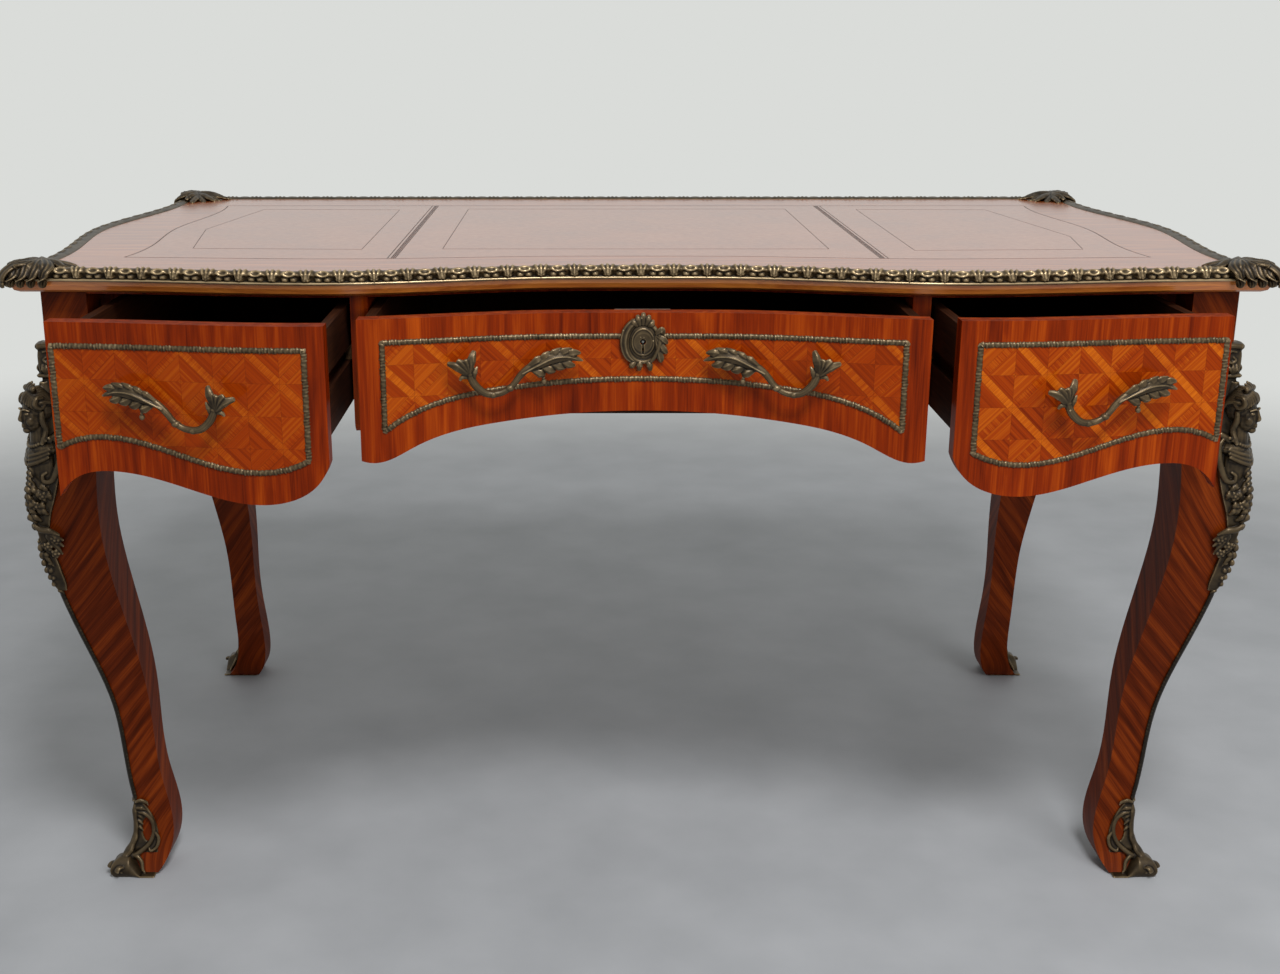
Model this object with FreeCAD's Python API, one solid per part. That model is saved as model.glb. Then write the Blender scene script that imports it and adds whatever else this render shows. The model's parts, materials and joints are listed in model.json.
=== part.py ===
import FreeCAD, Part
import os
from math import atan2, cos, degrees, radians, sin, tan

# A bureau plat: a serpentine writing table with a leather top, three side-hung drawers, cabriole
# legs and bronze mounts. Millimetres, +Z up, the front faces -Y. The table is built about the
# middle of its top, drawers closed, then the drawers are drawn out as they stand at rest and the
# whole is moved so that the origin is on the floor under the centre of its box.

# Top: a board with a rounded wooden lip, a bronze edge moulding in a rebate and leather let in
HEIGHT = 780.0
TOP_WIDTH = 1388.0
TOP_DEPTH = 777.0
FRONT_SWELL = 27.0
FRONT_CREST_X = 325.0
FRONT_HOLLOW = 18.0
FRONT_HOLLOW_X = 110.0
HOLLOW_EASE = 3.0
FRONT_WAIST = 9.0
FRONT_WAIST_X = 530.0
SIDE_SWELL = 16.0
SIDE_HOLLOW = 12.0
SIDE_HOLLOW_SHARE = 0.67
CLASP_RISE = 1.5
MOULDING_HEIGHT = 14.5
MOULDING_SEAT = 10.0
MOULDING_OVERHANG = 4.0
MOULDING_ROUND = 6.0
LIP_HEIGHT = 13.0
LIP_ROUND = 8.0
REBATE_DEPTH = 9.0
LEATHER_THICK = 1.5
LEATHER_FRONT_BORDER = 122.0
LEATHER_SIDE_BORDER = 92.0
LEATHER_BACK_BORDER = 105.0
LEATHER_WAVE = 0.5
LEATHER_JOINT_X = 288.0
CLASP_REACH = 74.0
CLASP_OVERHANG = 11.0
CLASP_COVER = 24.0
CLASP_DROP = 5.0

# Legs: one pattern sawn from two faces, so the leg is the same seen from the front and the side.
# Heights are shares of the leg's own height, and stations add a distance out from the post's face.
LEG_INSET_X = 22.0
LEG_INSET_Y = 29.5
POST_WIDTH = 51.0
SOLE_THICK = 3.0
KNEE_SPRING = 0.921
LEG_OUTER = ((0.686, 20.0), (0.446, -6.0), (0.3, -31.0), (0.153, -39.5))
TOE_OUT = -18.0
INNER_SPRING = 0.8
LEG_INNER = ((0.626, -49.0), (0.482, -61.0), (0.333, -73.0), (0.173, -78.0))
HEEL_OUT = -66.0

# Bronzes of the leg: stations are share of its height, rise over the wood and reach along each face.
# The foot's are heights above the floor instead.
MOUNT_STATIONS = (
    (0.92, 6.0, 15.0), (0.872, 7.0, 16.0), (0.799, 11.0, 24.0), (0.726, 13.0, 27.0),
    (0.672, 13.0, 24.0), (0.607, 7.0, 13.0), (0.573, 10.0, 19.0), (0.526, 5.0, 11.0))
HEAD_Z = 0.824
HEAD_RADIUS = 17.0
CROWN_RADIUS = 8.0
CROWN_Z = 0.86
NECK_RADIUS = 10.0
BUST_Z = 0.746
BUST_RADIUS = 17.0
FIGURE_OUT = 8.0
BEAD_RISE = 2.5
BEAD_REACH = 6.0
BEAD_STATIONS = 6
SABOT_HEIGHT = 95.0
SABOT_TONGUE = ((95.0, 2.5, 7.0), (70.0, 3.5, 19.0), (45.0, 3.0, 26.0), (18.0, 3.5, 30.0))
SHOE_HEIGHT = 24.0
SHOE_RISE = 3.5
SABOT_WINDOW_Z = 54.0
SABOT_WINDOW_OUT = -11.0
SABOT_WINDOW = (6.5, 16.0)
TOE_SCROLL = 7.0

# Carcass
FRONT_OVERHANG = 32.0
FILLET_THICK = 6.0
FILLET_DEPTH = 42.0
PARTITION_X = 312.0
PARTITION_THICK = 20.0
PARTITION_HEIGHT = 161.0
PARTITION_ROUND = 14.0
PANEL_THICK = 18.0
PANEL_SETBACK = 8.0
SIDE_BOW = 17.0
GUIDE_THICK = 18.0
GUIDE_HEIGHT = 80.0
RUNNER_HEIGHT = 17.0
RUNNER_BITE = 6.5
RUNNER_PLAY = 0.3
BLOCK_SIZE = 24.0
BLOCK_LENGTH = 70.0

# Drawers
LEFT_PULL = 158.0
CENTRE_PULL = 125.0
RIGHT_PULL = 127.0
DRAWER_TOP_GAP = 3.0
END_GAP = 4.0
FRONT_THICK = 20.0
SIDE_GAP = 5.0
SIDE_THICK = 11.0
BOX_DROP = 7.0
BOX_HEIGHT = 113.0
BOX_BACK_GAP = 84.0
BOTTOM_THICK = 7.0
BOTTOM_RISE = 6.0
BOTTOM_BITE = 5.0
BACK_THICK = 10.0
BACK_DROP = 8.0

# Shaped lower edges and parquetry panels: share of the width from the outer end, drop below the
# top of the front. The centre outline is given for one half, from its end to the middle.
SIDE_APRON = ((0.0, 187.0), (0.105, 161.0), (0.21, 158.0), (0.47, 173.0), (0.75, 189.0),
              (0.92, 176.0), (1.0, 145.0))
CENTRE_APRON = ((0.0, 151.0), (0.05, 154.0), (0.19, 138.0), (0.5, 116.0), (1.0, 106.0))
SIDE_FIELD = ((0.0, 133.0), (0.12, 122.0), (0.23, 121.5), (0.62, 148.0), (0.82, 154.0),
              (1.0, 141.0))
CENTRE_FIELD = ((0.0, 120.0), (0.15, 97.0), (0.5, 78.5), (1.0, 71.0))
FIELD_TOP_MARGIN = 25.0
FIELD_OUTER_MARGIN = 5.0
FIELD_INNER_MARGIN = 21.0
FIELD_CENTRE_MARGIN = 25.0
VENEER_THICK = 1.2
BAND_WIDTH = 7.0
BAND_RISE = 3.0

# Pulls, escutcheon and lock. Pull outlines are in the plane of the drawer front, about the middle
# of the pull: the leaf spray at one end, the stem's swoop and the flared flower at the other.
PULL_X = 484.0
PULL_DROP = 84.0
CENTRE_PULL_X = 136.0
CENTRE_PULL_DROP = 60.0
PULL_STEM = ((-46.0, 12.0), (-14.0, 16.0), (11.0, -27.0), (42.0, -32.0), (54.0, 12.0))
PULL_STEM_RADIUS = 3.4
PULL_STEM_SIDES = 8
PULL_STAND = 20.0
PULL_BEND_SHARE = 0.48
PULL_LEAF = ((-69.0, 11.0), (-36.0, 26.0), (-2.0, 0.0), (-20.0, 9.0), (-40.0, 4.0), (-54.0, 5.0))
PULL_FLOWER = ((46.0, -2.0), (42.0, 12.0), (43.0, 26.0), (54.0, 20.0), (69.0, 17.0), (60.0, 6.0))
PULL_PLATE = 5.0
PULL_FOOT_RADIUS = 4.5
ESCUTCHEON = ((-8.0, 21.0), (0.0, 29.0), (8.0, 21.0), (22.0, 0.0), (12.0, -22.0), (0.0, -28.0),
              (-12.0, -22.0), (-22.0, 0.0))
ESCUTCHEON_DROP = 31.0
ESCUTCHEON_RISE = 5.0
KEYHOLE_RADIUS = 3.2
KEYHOLE_SLOT = 11.0
LOCK_WIDTH = 60.0
LOCK_HEIGHT = 46.0
LOCK_DEPTH = 11.0
LOCK_TOP_DROP = 1.0
LOCK_PIN_RADIUS = 1.2
BOLT_WIDTH = 24.0
BOLT_THICK = 5.0
BOLT_HEIGHT = 20.0
BOLT_THROW = 7.0
BOLT_PLAY = 0.3
MORTISE_PLAY = 1.2

# Levels and places that follow from the sizes above
MOULDING_TOP = HEIGHT - CLASP_RISE
MOULDING_BOTTOM = MOULDING_TOP - MOULDING_HEIGHT
TOP_UNDERSIDE = MOULDING_BOTTOM - LIP_HEIGHT
SURFACE = MOULDING_BOTTOM + REBATE_DEPTH
FRONT_TOP = TOP_UNDERSIDE - FILLET_THICK - DRAWER_TOP_GAP
POST_X = TOP_WIDTH / 2 - LEG_INSET_X
POST_Y = TOP_DEPTH / 2 - LEG_INSET_Y
POST_INNER_X = POST_X - POST_WIDTH
POST_INNER_Y = POST_Y - POST_WIDTH
BACK_FACE = POST_Y - PANEL_SETBACK
BACK_INNER = BACK_FACE - PANEL_THICK
PARTITION_OUTER = PARTITION_X + PARTITION_THICK / 2
PARTITION_INNER = PARTITION_X - PARTITION_THICK / 2
SIDE_FRONT = (PARTITION_OUTER + END_GAP, POST_INNER_X - END_GAP)
CENTRE_FRONT = (-PARTITION_INNER + END_GAP, PARTITION_INNER - END_GAP)
BOX_TOP = FRONT_TOP - BOX_DROP
BOX_BOTTOM = BOX_TOP - BOX_HEIGHT
BOX_END = BACK_INNER - BOX_BACK_GAP
RUNNER_Z = (BOX_TOP + BOX_BOTTOM) / 2
GUIDE_FACE = POST_INNER_X - GUIDE_THICK
FAR = TOP_WIDTH

nodes = {}


def vec(x, y, z=0.0):
    return FreeCAD.Vector(x, y, z)


def box(x0, x1, y0, y1, z0, z1):
    return Part.makeBox(x1 - x0, y1 - y0, z1 - z0, vec(x0, y0, z0))


def line(a, b):
    return Part.LineSegment(a, b).toShape()


def spline(points):
    curve = Part.BSplineCurve()
    curve.interpolate(points)
    return curve.toShape()


def arc_outline(points):
    """Face bounded by arcs: every second point is an end, and the one after it lies on the arc."""
    ends = points[::2]
    through = points[1::2]
    arcs = [Part.Arc(a, m, b).toShape() for a, m, b in zip(ends, through, ends[1:] + ends[:1])]
    return Part.Face(Part.Wire(arcs))


def prism(edges, direction):
    """Solid swept straight from the flat face that the edges bound."""
    return Part.Face(Part.Wire(Part.__sortEdges__(edges))).extrude(direction)


def group(solids):
    return Part.Compound(solids)


def mirror_x(shape):
    return shape.mirror(vec(0, 0), vec(1, 0))


def moved(shape, x, y, z=0.0):
    return shape.translated(vec(x, y, z))


# Plan curves of the top and the front


def front_points(setback, z, wave=1.0):
    """Stations of the serpentine front, set back from the wooden edge of the top."""
    corner = -TOP_DEPTH / 2 + setback
    hollow = corner + wave * FRONT_HOLLOW
    half = [(TOP_WIDTH / 2, corner), (FRONT_WAIST_X, corner - wave * FRONT_WAIST),
            (FRONT_CREST_X, corner - wave * FRONT_SWELL),
            (FRONT_HOLLOW_X, hollow - wave * HOLLOW_EASE)]
    left = [vec(-x, y, z) for x, y in half]
    right = [vec(x, y, z) for x, y in reversed(half)]
    return left + [vec(0, hollow, z)] + right


def front_frame(x, setback):
    """Point of the front's plan curve at x, and its angle about +Z there in degrees."""
    curve = Part.BSplineCurve()
    curve.interpolate(front_points(setback, 0))
    across = Part.LineSegment(vec(x, -FAR), vec(x, FAR))
    point = curve.intersectCC(across)[0]
    place = vec(point.X, point.Y)
    tangent = curve.tangent(curve.parameter(place))[0]
    return place, degrees(atan2(tangent.y, tangent.x))


def front_strip(ahead, behind, z0=0.0, z1=HEIGHT):
    """Upright sheet that follows the front, between two distances behind the closed drawers."""
    outer = front_points(FRONT_OVERHANG + ahead, z0)
    inner = front_points(FRONT_OVERHANG + behind, z0)
    edges = [spline(outer), spline(inner), line(outer[0], inner[0]), line(outer[-1], inner[-1])]
    return prism(edges, vec(0, 0, z1 - z0))


def behind_front(setback):
    """Everything behind the front's plan curve at a distance behind the closed drawers."""
    points = front_points(FRONT_OVERHANG + setback, 0)
    back = [vec(points[0].x, FAR), vec(points[-1].x, FAR)]
    edges = [spline(points), line(points[-1], back[1]), line(back[1], back[0]),
             line(back[0], points[0])]
    return prism(edges, vec(0, 0, HEIGHT))


def top_edges(front, side, back, z, wave=1.0):
    """The four plan edges of the top, each set in by its own border."""
    points = front_points(front, z, wave)
    half = TOP_WIDTH / 2 - side
    rear = TOP_DEPTH / 2 - back
    points[0].x = -half
    points[-1].x = half
    nose = points[0].y
    waist = half - wave * SIDE_HOLLOW
    bow = half + wave * SIDE_SWELL
    right = [vec(half, nose, z), vec(waist, SIDE_HOLLOW_SHARE * nose, z), vec(bow, 0, z),
             vec(waist, SIDE_HOLLOW_SHARE * rear, z), vec(half, rear, z)]
    left = [vec(-p.x, p.y, z) for p in right]
    return [spline(points), spline(right), line(right[-1], left[-1]), spline(left)]


def top_slab(inset, z0, z1):
    return prism(top_edges(inset, inset, inset, z0), vec(0, 0, z1 - z0))


def moulded_slab(profile):
    """Slab of the top's plan with a moulded edge: pairs of inset and height, upwards."""
    wires = [Part.Wire(top_edges(inset, inset, inset, z)) for inset, z in profile]
    return Part.makeLoft(wires, True, True)


# Top


def edges_at(shape, z):
    tiny = 1e-3
    return [e for e in shape.Edges if abs(e.BoundBox.ZMin - z) < tiny and abs(e.BoundBox.ZMax - z) < tiny]


def make_top():
    third = LIP_ROUND / 3
    lip = moulded_slab([(LIP_ROUND, TOP_UNDERSIDE), (third, TOP_UNDERSIDE + third),
                        (0, TOP_UNDERSIDE + LIP_ROUND), (0, MOULDING_BOTTOM)])
    board = lip.fuse(top_slab(MOULDING_SEAT, MOULDING_BOTTOM, SURFACE)).removeSplitter()
    borders = (LEATHER_FRONT_BORDER, LEATHER_SIDE_BORDER, LEATHER_BACK_BORDER)
    edges = top_edges(*borders, SURFACE - LEATHER_THICK, LEATHER_WAVE)
    skin = prism(edges, vec(0, 0, LEATHER_THICK))
    joint = LEATHER_JOINT_X
    cuts = {"left": (-FAR, -joint), "centre": (-joint, joint), "right": (joint, FAR)}
    for side, (x0, x1) in cuts.items():
        nodes["leather_" + side] = skin.common(box(x0, x1, -FAR, FAR, 0, HEIGHT))
    nodes["top_board"] = board.cut(skin)


def make_edge_bronzes():
    third = MOULDING_ROUND / 3
    ring = moulded_slab([(-MOULDING_OVERHANG, MOULDING_BOTTOM),
                         (-MOULDING_OVERHANG, MOULDING_TOP - MOULDING_ROUND),
                         (third - MOULDING_OVERHANG, MOULDING_TOP - third),
                         (MOULDING_ROUND - MOULDING_OVERHANG, MOULDING_TOP)])
    ring = ring.cut(top_slab(MOULDING_SEAT, MOULDING_BOTTOM, HEIGHT))
    leaf = moulded_slab([(-CLASP_OVERHANG / 2, TOP_UNDERSIDE + CLASP_DROP),
                         (-CLASP_OVERHANG, MOULDING_BOTTOM),
                         (third - CLASP_OVERHANG, HEIGHT - MOULDING_ROUND),
                         (MOULDING_ROUND - CLASP_OVERHANG, HEIGHT)])
    leaf = leaf.cut(top_slab(CLASP_COVER, SURFACE, HEIGHT + CLASP_RISE))
    leaf = leaf.cut(nodes["top_board"])
    corner_x = TOP_WIDTH / 2
    corner_y = TOP_DEPTH / 2
    for end, sy in (("front", -1), ("rear", 1)):
        for side, sx in (("left", -1), ("right", 1)):
            reach = Part.makeCylinder(CLASP_REACH, HEIGHT, vec(sx * corner_x, sy * corner_y, 0))
            clasp = leaf.common(reach)
            nodes["corner_clasp_" + end + "_" + side] = largest(clasp)
            ring = ring.cut(reach)
    for solid in ring.Solids:
        centre = solid.CenterOfMass
        if abs(centre.x) * TOP_DEPTH > abs(centre.y) * TOP_WIDTH:
            side = "left" if centre.x < 0 else "right"
        else:
            side = "front" if centre.y < 0 else "back"
        nodes["edge_moulding_" + side] = solid


def largest(shape):
    return max(shape.Solids, key=lambda solid: solid.Volume)


# Legs. A leg is made for the corner where both outer faces look along + and lie at 0.


def level(share):
    """Height above the floor of a share of the leg's height."""
    return share * TOP_UNDERSIDE


def leg_outer_points():
    stations = [vec(out, 0, level(share)) for share, out in LEG_OUTER]
    return [vec(0, 0, level(KNEE_SPRING))] + stations + [vec(TOE_OUT, 0, 0)]


def arris(z):
    """Distance of the leg's outer faces from those of the post at a height."""
    if z >= level(KNEE_SPRING):
        return 0.0
    curve = leg_outer_curve()
    point = curve.intersectCC(Part.LineSegment(vec(-FAR, 0, z), vec(FAR, 0, z)))[0]
    return point.X


def leg_outer_curve():
    curve = Part.BSplineCurve()
    down = vec(0, 0, -1)
    foot = vec(SHOE_HEIGHT, 0, -SHOE_HEIGHT)
    curve.interpolate(Points=leg_outer_points(), InitialTangent=down, FinalTangent=foot)
    return curve


def leg_inner_curve():
    points = [vec(-POST_WIDTH, 0, level(INNER_SPRING))]
    points += [vec(out, 0, level(share)) for share, out in LEG_INNER]
    points.append(vec(HEEL_OUT, 0, 0))
    curve = Part.BSplineCurve()
    down = vec(0, 0, -1)
    foot = vec(SHOE_HEIGHT, 0, -SHOE_HEIGHT)
    curve.interpolate(Points=points, InitialTangent=down, FinalTangent=foot)
    return curve


def both_ways(edges):
    """Saw a pattern drawn in XZ from two square faces of one block."""
    sawn = moved(prism(edges, vec(0, FAR, 0)), 0, -FAR / 2)
    turned = sawn.mirror(vec(0, 0), vec(1, -1).normalize())
    return sawn.common(turned)


def make_leg():
    outer = leg_outer_curve()
    inner = leg_inner_curve()
    top = TOP_UNDERSIDE
    corners = [vec(0, 0, level(KNEE_SPRING)), vec(0, 0, top), vec(-POST_WIDTH, 0, top),
               vec(-POST_WIDTH, 0, level(INNER_SPRING))]
    edges = [line(a, b) for a, b in zip(corners, corners[1:])]
    edges += [outer.toShape(), inner.toShape(), line(vec(TOE_OUT, 0, 0), vec(HEEL_OUT, 0, 0))]
    leg = both_ways(edges)
    return leg.cut(box(-FAR, FAR, -FAR, FAR, -SOLE_THICK, SOLE_THICK))


def corner_casting(stations, leg):
    """Bronze that wraps the leg's outer corner: stations of height, rise and reach."""
    outer = [vec(arris(z) + rise, 0, z) for z, rise, reach in stations]
    inner = [vec(arris(z) - reach, 0, z) for z, rise, reach in stations]
    edges = [spline(outer), spline(inner), line(outer[0], inner[0]), line(outer[-1], inner[-1])]
    return both_ways(edges).cut(leg)


def figure():
    """The half figure's masses: crown of hair, head, neck and shoulders on one upright axis."""
    bust_z = level(BUST_Z)
    head_z = level(HEAD_Z)
    crown = Part.makeCone(HEAD_RADIUS, CROWN_RADIUS, level(CROWN_Z) - head_z, vec(0, 0, head_z))
    neck = Part.makeCone(BUST_RADIUS, NECK_RADIUS, head_z - bust_z, vec(0, 0, bust_z))
    head = Part.makeSphere(HEAD_RADIUS, vec(0, 0, head_z))
    return moved(crown.fuse(neck).fuse(head), FIGURE_OUT, FIGURE_OUT)


def make_leg_mount(leg):
    stations = [(level(share), rise, reach) for share, rise, reach in MOUNT_STATIONS]
    return largest(corner_casting(stations, leg).fuse(figure().cut(leg)).removeSplitter())


def make_bead(leg):
    lowest_mount = level(MOUNT_STATIONS[-1][0])
    step = (lowest_mount - SABOT_HEIGHT) / (BEAD_STATIONS - 1)
    heights = [lowest_mount - i * step for i in range(BEAD_STATIONS)]
    return corner_casting([(z, BEAD_RISE, BEAD_REACH) for z in heights], leg)


def make_sabot(leg):
    shoe_top = vec(arris(SHOE_HEIGHT) + SHOE_RISE, 0, SHOE_HEIGHT)
    scroll = vec(arris(0) + TOE_SCROLL, 0, SHOE_HEIGHT / 2)
    toe = vec(arris(0) + SHOE_RISE, 0, 0)
    heel = vec(HEEL_OUT, 0, 0)
    heel_top = vec(HEEL_OUT, 0, SHOE_HEIGHT)
    edges = [Part.Arc(shoe_top, scroll, toe).toShape(), line(toe, heel), line(heel, heel_top),
             line(heel_top, shoe_top)]
    shoe = both_ways(edges).cut(leg)
    tongue = corner_casting(SABOT_TONGUE, leg)
    width, height = SABOT_WINDOW
    centre = vec(arris(SABOT_WINDOW_Z) + SABOT_WINDOW_OUT, -FAR / 2, SABOT_WINDOW_Z)
    oval = Part.Ellipse(centre + vec(0, 0, height), centre + vec(width, 0), centre).toShape()
    window = Part.Face(Part.Wire([oval])).extrude(vec(0, FAR, 0))
    turned = window.mirror(vec(0, 0), vec(1, -1).normalize())
    tongue = tongue.cut(window).cut(turned)
    return largest(shoe.fuse(tongue).removeSplitter())


def make_legs():
    leg = make_leg()
    pieces = {"leg": leg, "leg_mount": make_leg_mount(leg), "sabot": make_sabot(leg)}
    bead = make_bead(leg)
    beads = []
    for end, sy in (("front", -1), ("rear", 1)):
        for side, sx in (("left", -1), ("right", 1)):
            for name, shape in pieces.items():
                nodes[name + "_" + end + "_" + side] = at_corner(shape, sx, sy)
            beads.append(at_corner(bead, sx, sy))
    nodes["leg_beads"] = group([b for bead in beads for b in bead.Solids])


def at_corner(shape, sx, sy):
    if sx < 0:
        shape = mirror_x(shape)
    if sy < 0:
        shape = shape.mirror(vec(0, 0), vec(0, 1))
    return moved(shape, sx * POST_X, sy * POST_Y)


# Boards with a shaped lower edge, an inlaid parquetry field and a bronze band round the field.
# They are drawn facing -Y in XZ, from an outer end a to an inner end b.


def hanging(a, b, top, drops, grow=0.0):
    """Prism along Y with a straight top and a curved lower edge, grown by an even margin."""
    out = grow if b > a else -grow
    span = b - a
    low = [vec(a + share * span, -FAR, FRONT_TOP - drop - grow) for share, drop in drops]
    low[0].x -= out
    low[-1].x += out
    corner_a = vec(a - out, -FAR, top + grow)
    corner_b = vec(b + out, -FAR, top + grow)
    edges = [spline(low), line(low[0], corner_a), line(corner_a, corner_b), line(corner_b, low[-1])]
    return prism(edges, vec(0, 2 * FAR, 0))


def both_halves(stations):
    first = [(share / 2, drop) for share, drop in stations]
    return first + [(1 - share, drop) for share, drop in reversed(first[:-1])]


def inlay(strip, outline, field):
    """Parquetry let into a board's face, and the band over the parquetry's edge."""
    parquetry = strip(0, VENEER_THICK).common(field(0))
    frame = field(BAND_WIDTH / 2).cut(field(-BAND_WIDTH / 2))
    return parquetry, strip(-BAND_RISE, 0).common(frame).common(outline)


def veneered(strip, outline, field, thick):
    board = strip(0, thick).common(outline)
    parquetry, band = inlay(strip, outline, field)
    return board.cut(parquetry), parquetry, band


def side_field(outer, inner):
    toward = 1 if inner > outer else -1
    a = outer + toward * FIELD_OUTER_MARGIN
    b = inner - toward * FIELD_INNER_MARGIN
    top = FRONT_TOP - FIELD_TOP_MARGIN
    return lambda grow: hanging(a, b, top, SIDE_FIELD, grow)


def centre_field(a, b):
    start = a + FIELD_CENTRE_MARGIN
    end = b - FIELD_CENTRE_MARGIN
    top = FRONT_TOP - FIELD_TOP_MARGIN
    return lambda grow: hanging(start, end, top, both_halves(CENTRE_FIELD), grow)


# Carcass panels


def bowed_strip(half, bow):
    def strip(ahead, behind):
        outer = [vec(-half, ahead), vec(0, ahead - bow), vec(half, ahead)]
        inner = [vec(-half, behind), vec(0, behind - bow), vec(half, behind)]
        edges = [spline(outer), spline(inner), line(outer[0], inner[0]), line(outer[-1], inner[-1])]
        return prism(edges, vec(0, 0, HEIGHT))
    return strip


def make_carcass():
    parquetry = []
    bands = []
    half = POST_INNER_Y
    outline = hanging(-half, half, TOP_UNDERSIDE, both_halves(CENTRE_APRON))
    side = veneered(bowed_strip(half, SIDE_BOW), outline, centre_field(-half, half), PANEL_THICK)
    for name, sx in (("left", -1), ("right", 1)):
        placed = [moved(s.rotated(vec(0, 0), vec(0, 0, 1), sx * 90), sx * (POST_X - PANEL_SETBACK), 0)
                  for s in side]
        nodes["side_panel_" + name] = placed[0]
        parquetry.append(placed[1])
        bands.append(placed[2])
    make_back(parquetry, bands)
    nodes["frieze_parquetry"] = group(parquetry)
    nodes["frieze_bands"] = group([solid for band in bands for solid in band.Solids])
    make_partitions()


def make_back(parquetry, bands):
    """The back repeats the three fields of the front on one straight board."""
    inner, outer = SIDE_FRONT
    rail = box(-POST_INNER_X, POST_INNER_X, -FAR, FAR, FRONT_TOP - SIDE_APRON[-1][1], TOP_UNDERSIDE)
    fields = [side_field(-outer, -inner), centre_field(*CENTRE_FRONT), side_field(outer, inner)]
    outline = rail
    for a, b, drops in ((-outer, -inner, SIDE_APRON), (*CENTRE_FRONT, both_halves(CENTRE_APRON)),
                        (outer, inner, SIDE_APRON)):
        outline = outline.fuse(hanging(a, b, FRONT_TOP, drops))
    strip = bowed_strip(POST_INNER_X, 0.0)
    board = strip(0, PANEL_THICK).common(outline)
    for field in fields:
        veneer, band = inlay(strip, outline, field)
        board = board.cut(veneer)
        parquetry.append(to_back(veneer))
        bands.append(to_back(band))
    nodes["back_panel"] = to_back(board.removeSplitter())


def to_back(shape):
    return moved(shape.rotated(vec(0, 0), vec(0, 0, 1), 180), 0, BACK_FACE)


def make_partitions():
    fillet = front_strip(0, FILLET_DEPTH, TOP_UNDERSIDE - FILLET_THICK, TOP_UNDERSIDE)
    fillet = fillet.common(box(-POST_INNER_X, POST_INNER_X, -FAR, FAR, 0, HEIGHT))
    bottom = TOP_UNDERSIDE - PARTITION_HEIGHT
    blank = box(PARTITION_INNER, PARTITION_OUTER, -FAR, BACK_INNER, bottom, TOP_UNDERSIDE)
    partition = blank.common(behind_front(0)).cut(fillet)
    low = [e for e in edges_at(partition, bottom) if e.BoundBox.YMax < 0]
    partition = partition.makeFillet(PARTITION_ROUND, low)
    nodes["partition_right"] = partition
    nodes["partition_left"] = mirror_x(partition)
    bolt_y = front_frame(0, FRONT_OVERHANG)[0].y + FRONT_THICK + LOCK_DEPTH / 2
    mortise_top = FRONT_TOP - LOCK_TOP_DROP + BOLT_THROW + MORTISE_PLAY
    mortise = bolt_box(bolt_y, FRONT_TOP, mortise_top, MORTISE_PLAY)
    nodes["front_fillet"] = fillet.cut(mortise)
    guide_front = front_frame(GUIDE_FACE, FRONT_OVERHANG)[0].y + FRONT_THICK + END_GAP
    runner_front = front_frame(PARTITION_X, FRONT_OVERHANG)[0].y + FRONT_THICK + END_GAP
    low = RUNNER_Z - RUNNER_HEIGHT / 2
    high = RUNNER_Z + RUNNER_HEIGHT / 2
    reach = SIDE_GAP + RUNNER_BITE
    guide = box(GUIDE_FACE, POST_INNER_X, guide_front, BACK_INNER, RUNNER_Z - GUIDE_HEIGHT / 2,
                RUNNER_Z + GUIDE_HEIGHT / 2)
    rails = [guide, box(GUIDE_FACE - reach, GUIDE_FACE, guide_front, BACK_INNER, low, high)]
    for x0, x1 in ((PARTITION_OUTER, PARTITION_OUTER + reach), (PARTITION_INNER - reach, PARTITION_INNER)):
        rail = box(x0, x1, runner_front, BACK_INNER, low, high)
        rails.append(rail.common(behind_front(FRONT_THICK + END_GAP)))
    nodes["drawer_runners"] = group(rails + [mirror_x(rail) for rail in rails])
    blocks = []
    for x in (-POST_INNER_X + BLOCK_LENGTH, -BLOCK_LENGTH / 2, POST_INNER_X - 2 * BLOCK_LENGTH):
        blocks.append(box(x, x + BLOCK_LENGTH, BACK_INNER - BLOCK_SIZE, BACK_INNER,
                          TOP_UNDERSIDE - BLOCK_SIZE, TOP_UNDERSIDE))
    nodes["glue_blocks"] = group(blocks)


# Drawers, closed


def make_box(prefix, x0, x1, pull):
    """Sides, back and bottom between two outer faces, behind the front's curved back."""
    room = behind_front(FRONT_THICK)
    floor = BOX_BOTTOM + BOTTOM_RISE
    inside = (x0 + SIDE_THICK, x1 - SIDE_THICK)
    bottom = box(inside[0] - BOTTOM_BITE, inside[1] + BOTTOM_BITE, -FAR, BOX_END, floor,
                 floor + BOTTOM_THICK).common(room)
    low = RUNNER_Z - RUNNER_HEIGHT / 2 - RUNNER_PLAY
    high = RUNNER_Z + RUNNER_HEIGHT / 2 + RUNNER_PLAY
    bite = RUNNER_BITE + RUNNER_PLAY
    sides = []
    for outer, inner in ((x0, inside[0]), (x1, inside[1])):
        board = box(min(outer, inner), max(outer, inner), -FAR, BOX_END, BOX_BOTTOM, BOX_TOP)
        toward = 1 if inner > outer else -1
        groove_x = sorted((outer, outer + toward * bite))
        groove = box(*groove_x, -FAR, FAR, low, high)
        sides.append(board.common(room).cut(groove).cut(bottom))
    back = box(*inside, BOX_END - BACK_THICK, BOX_END, floor + BOTTOM_THICK, BOX_TOP - BACK_DROP)
    for name, shape in (("sides", group(sides)), ("back", back), ("bottom", bottom)):
        nodes[prefix + "_" + name] = moved(shape, 0, -pull)


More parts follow.
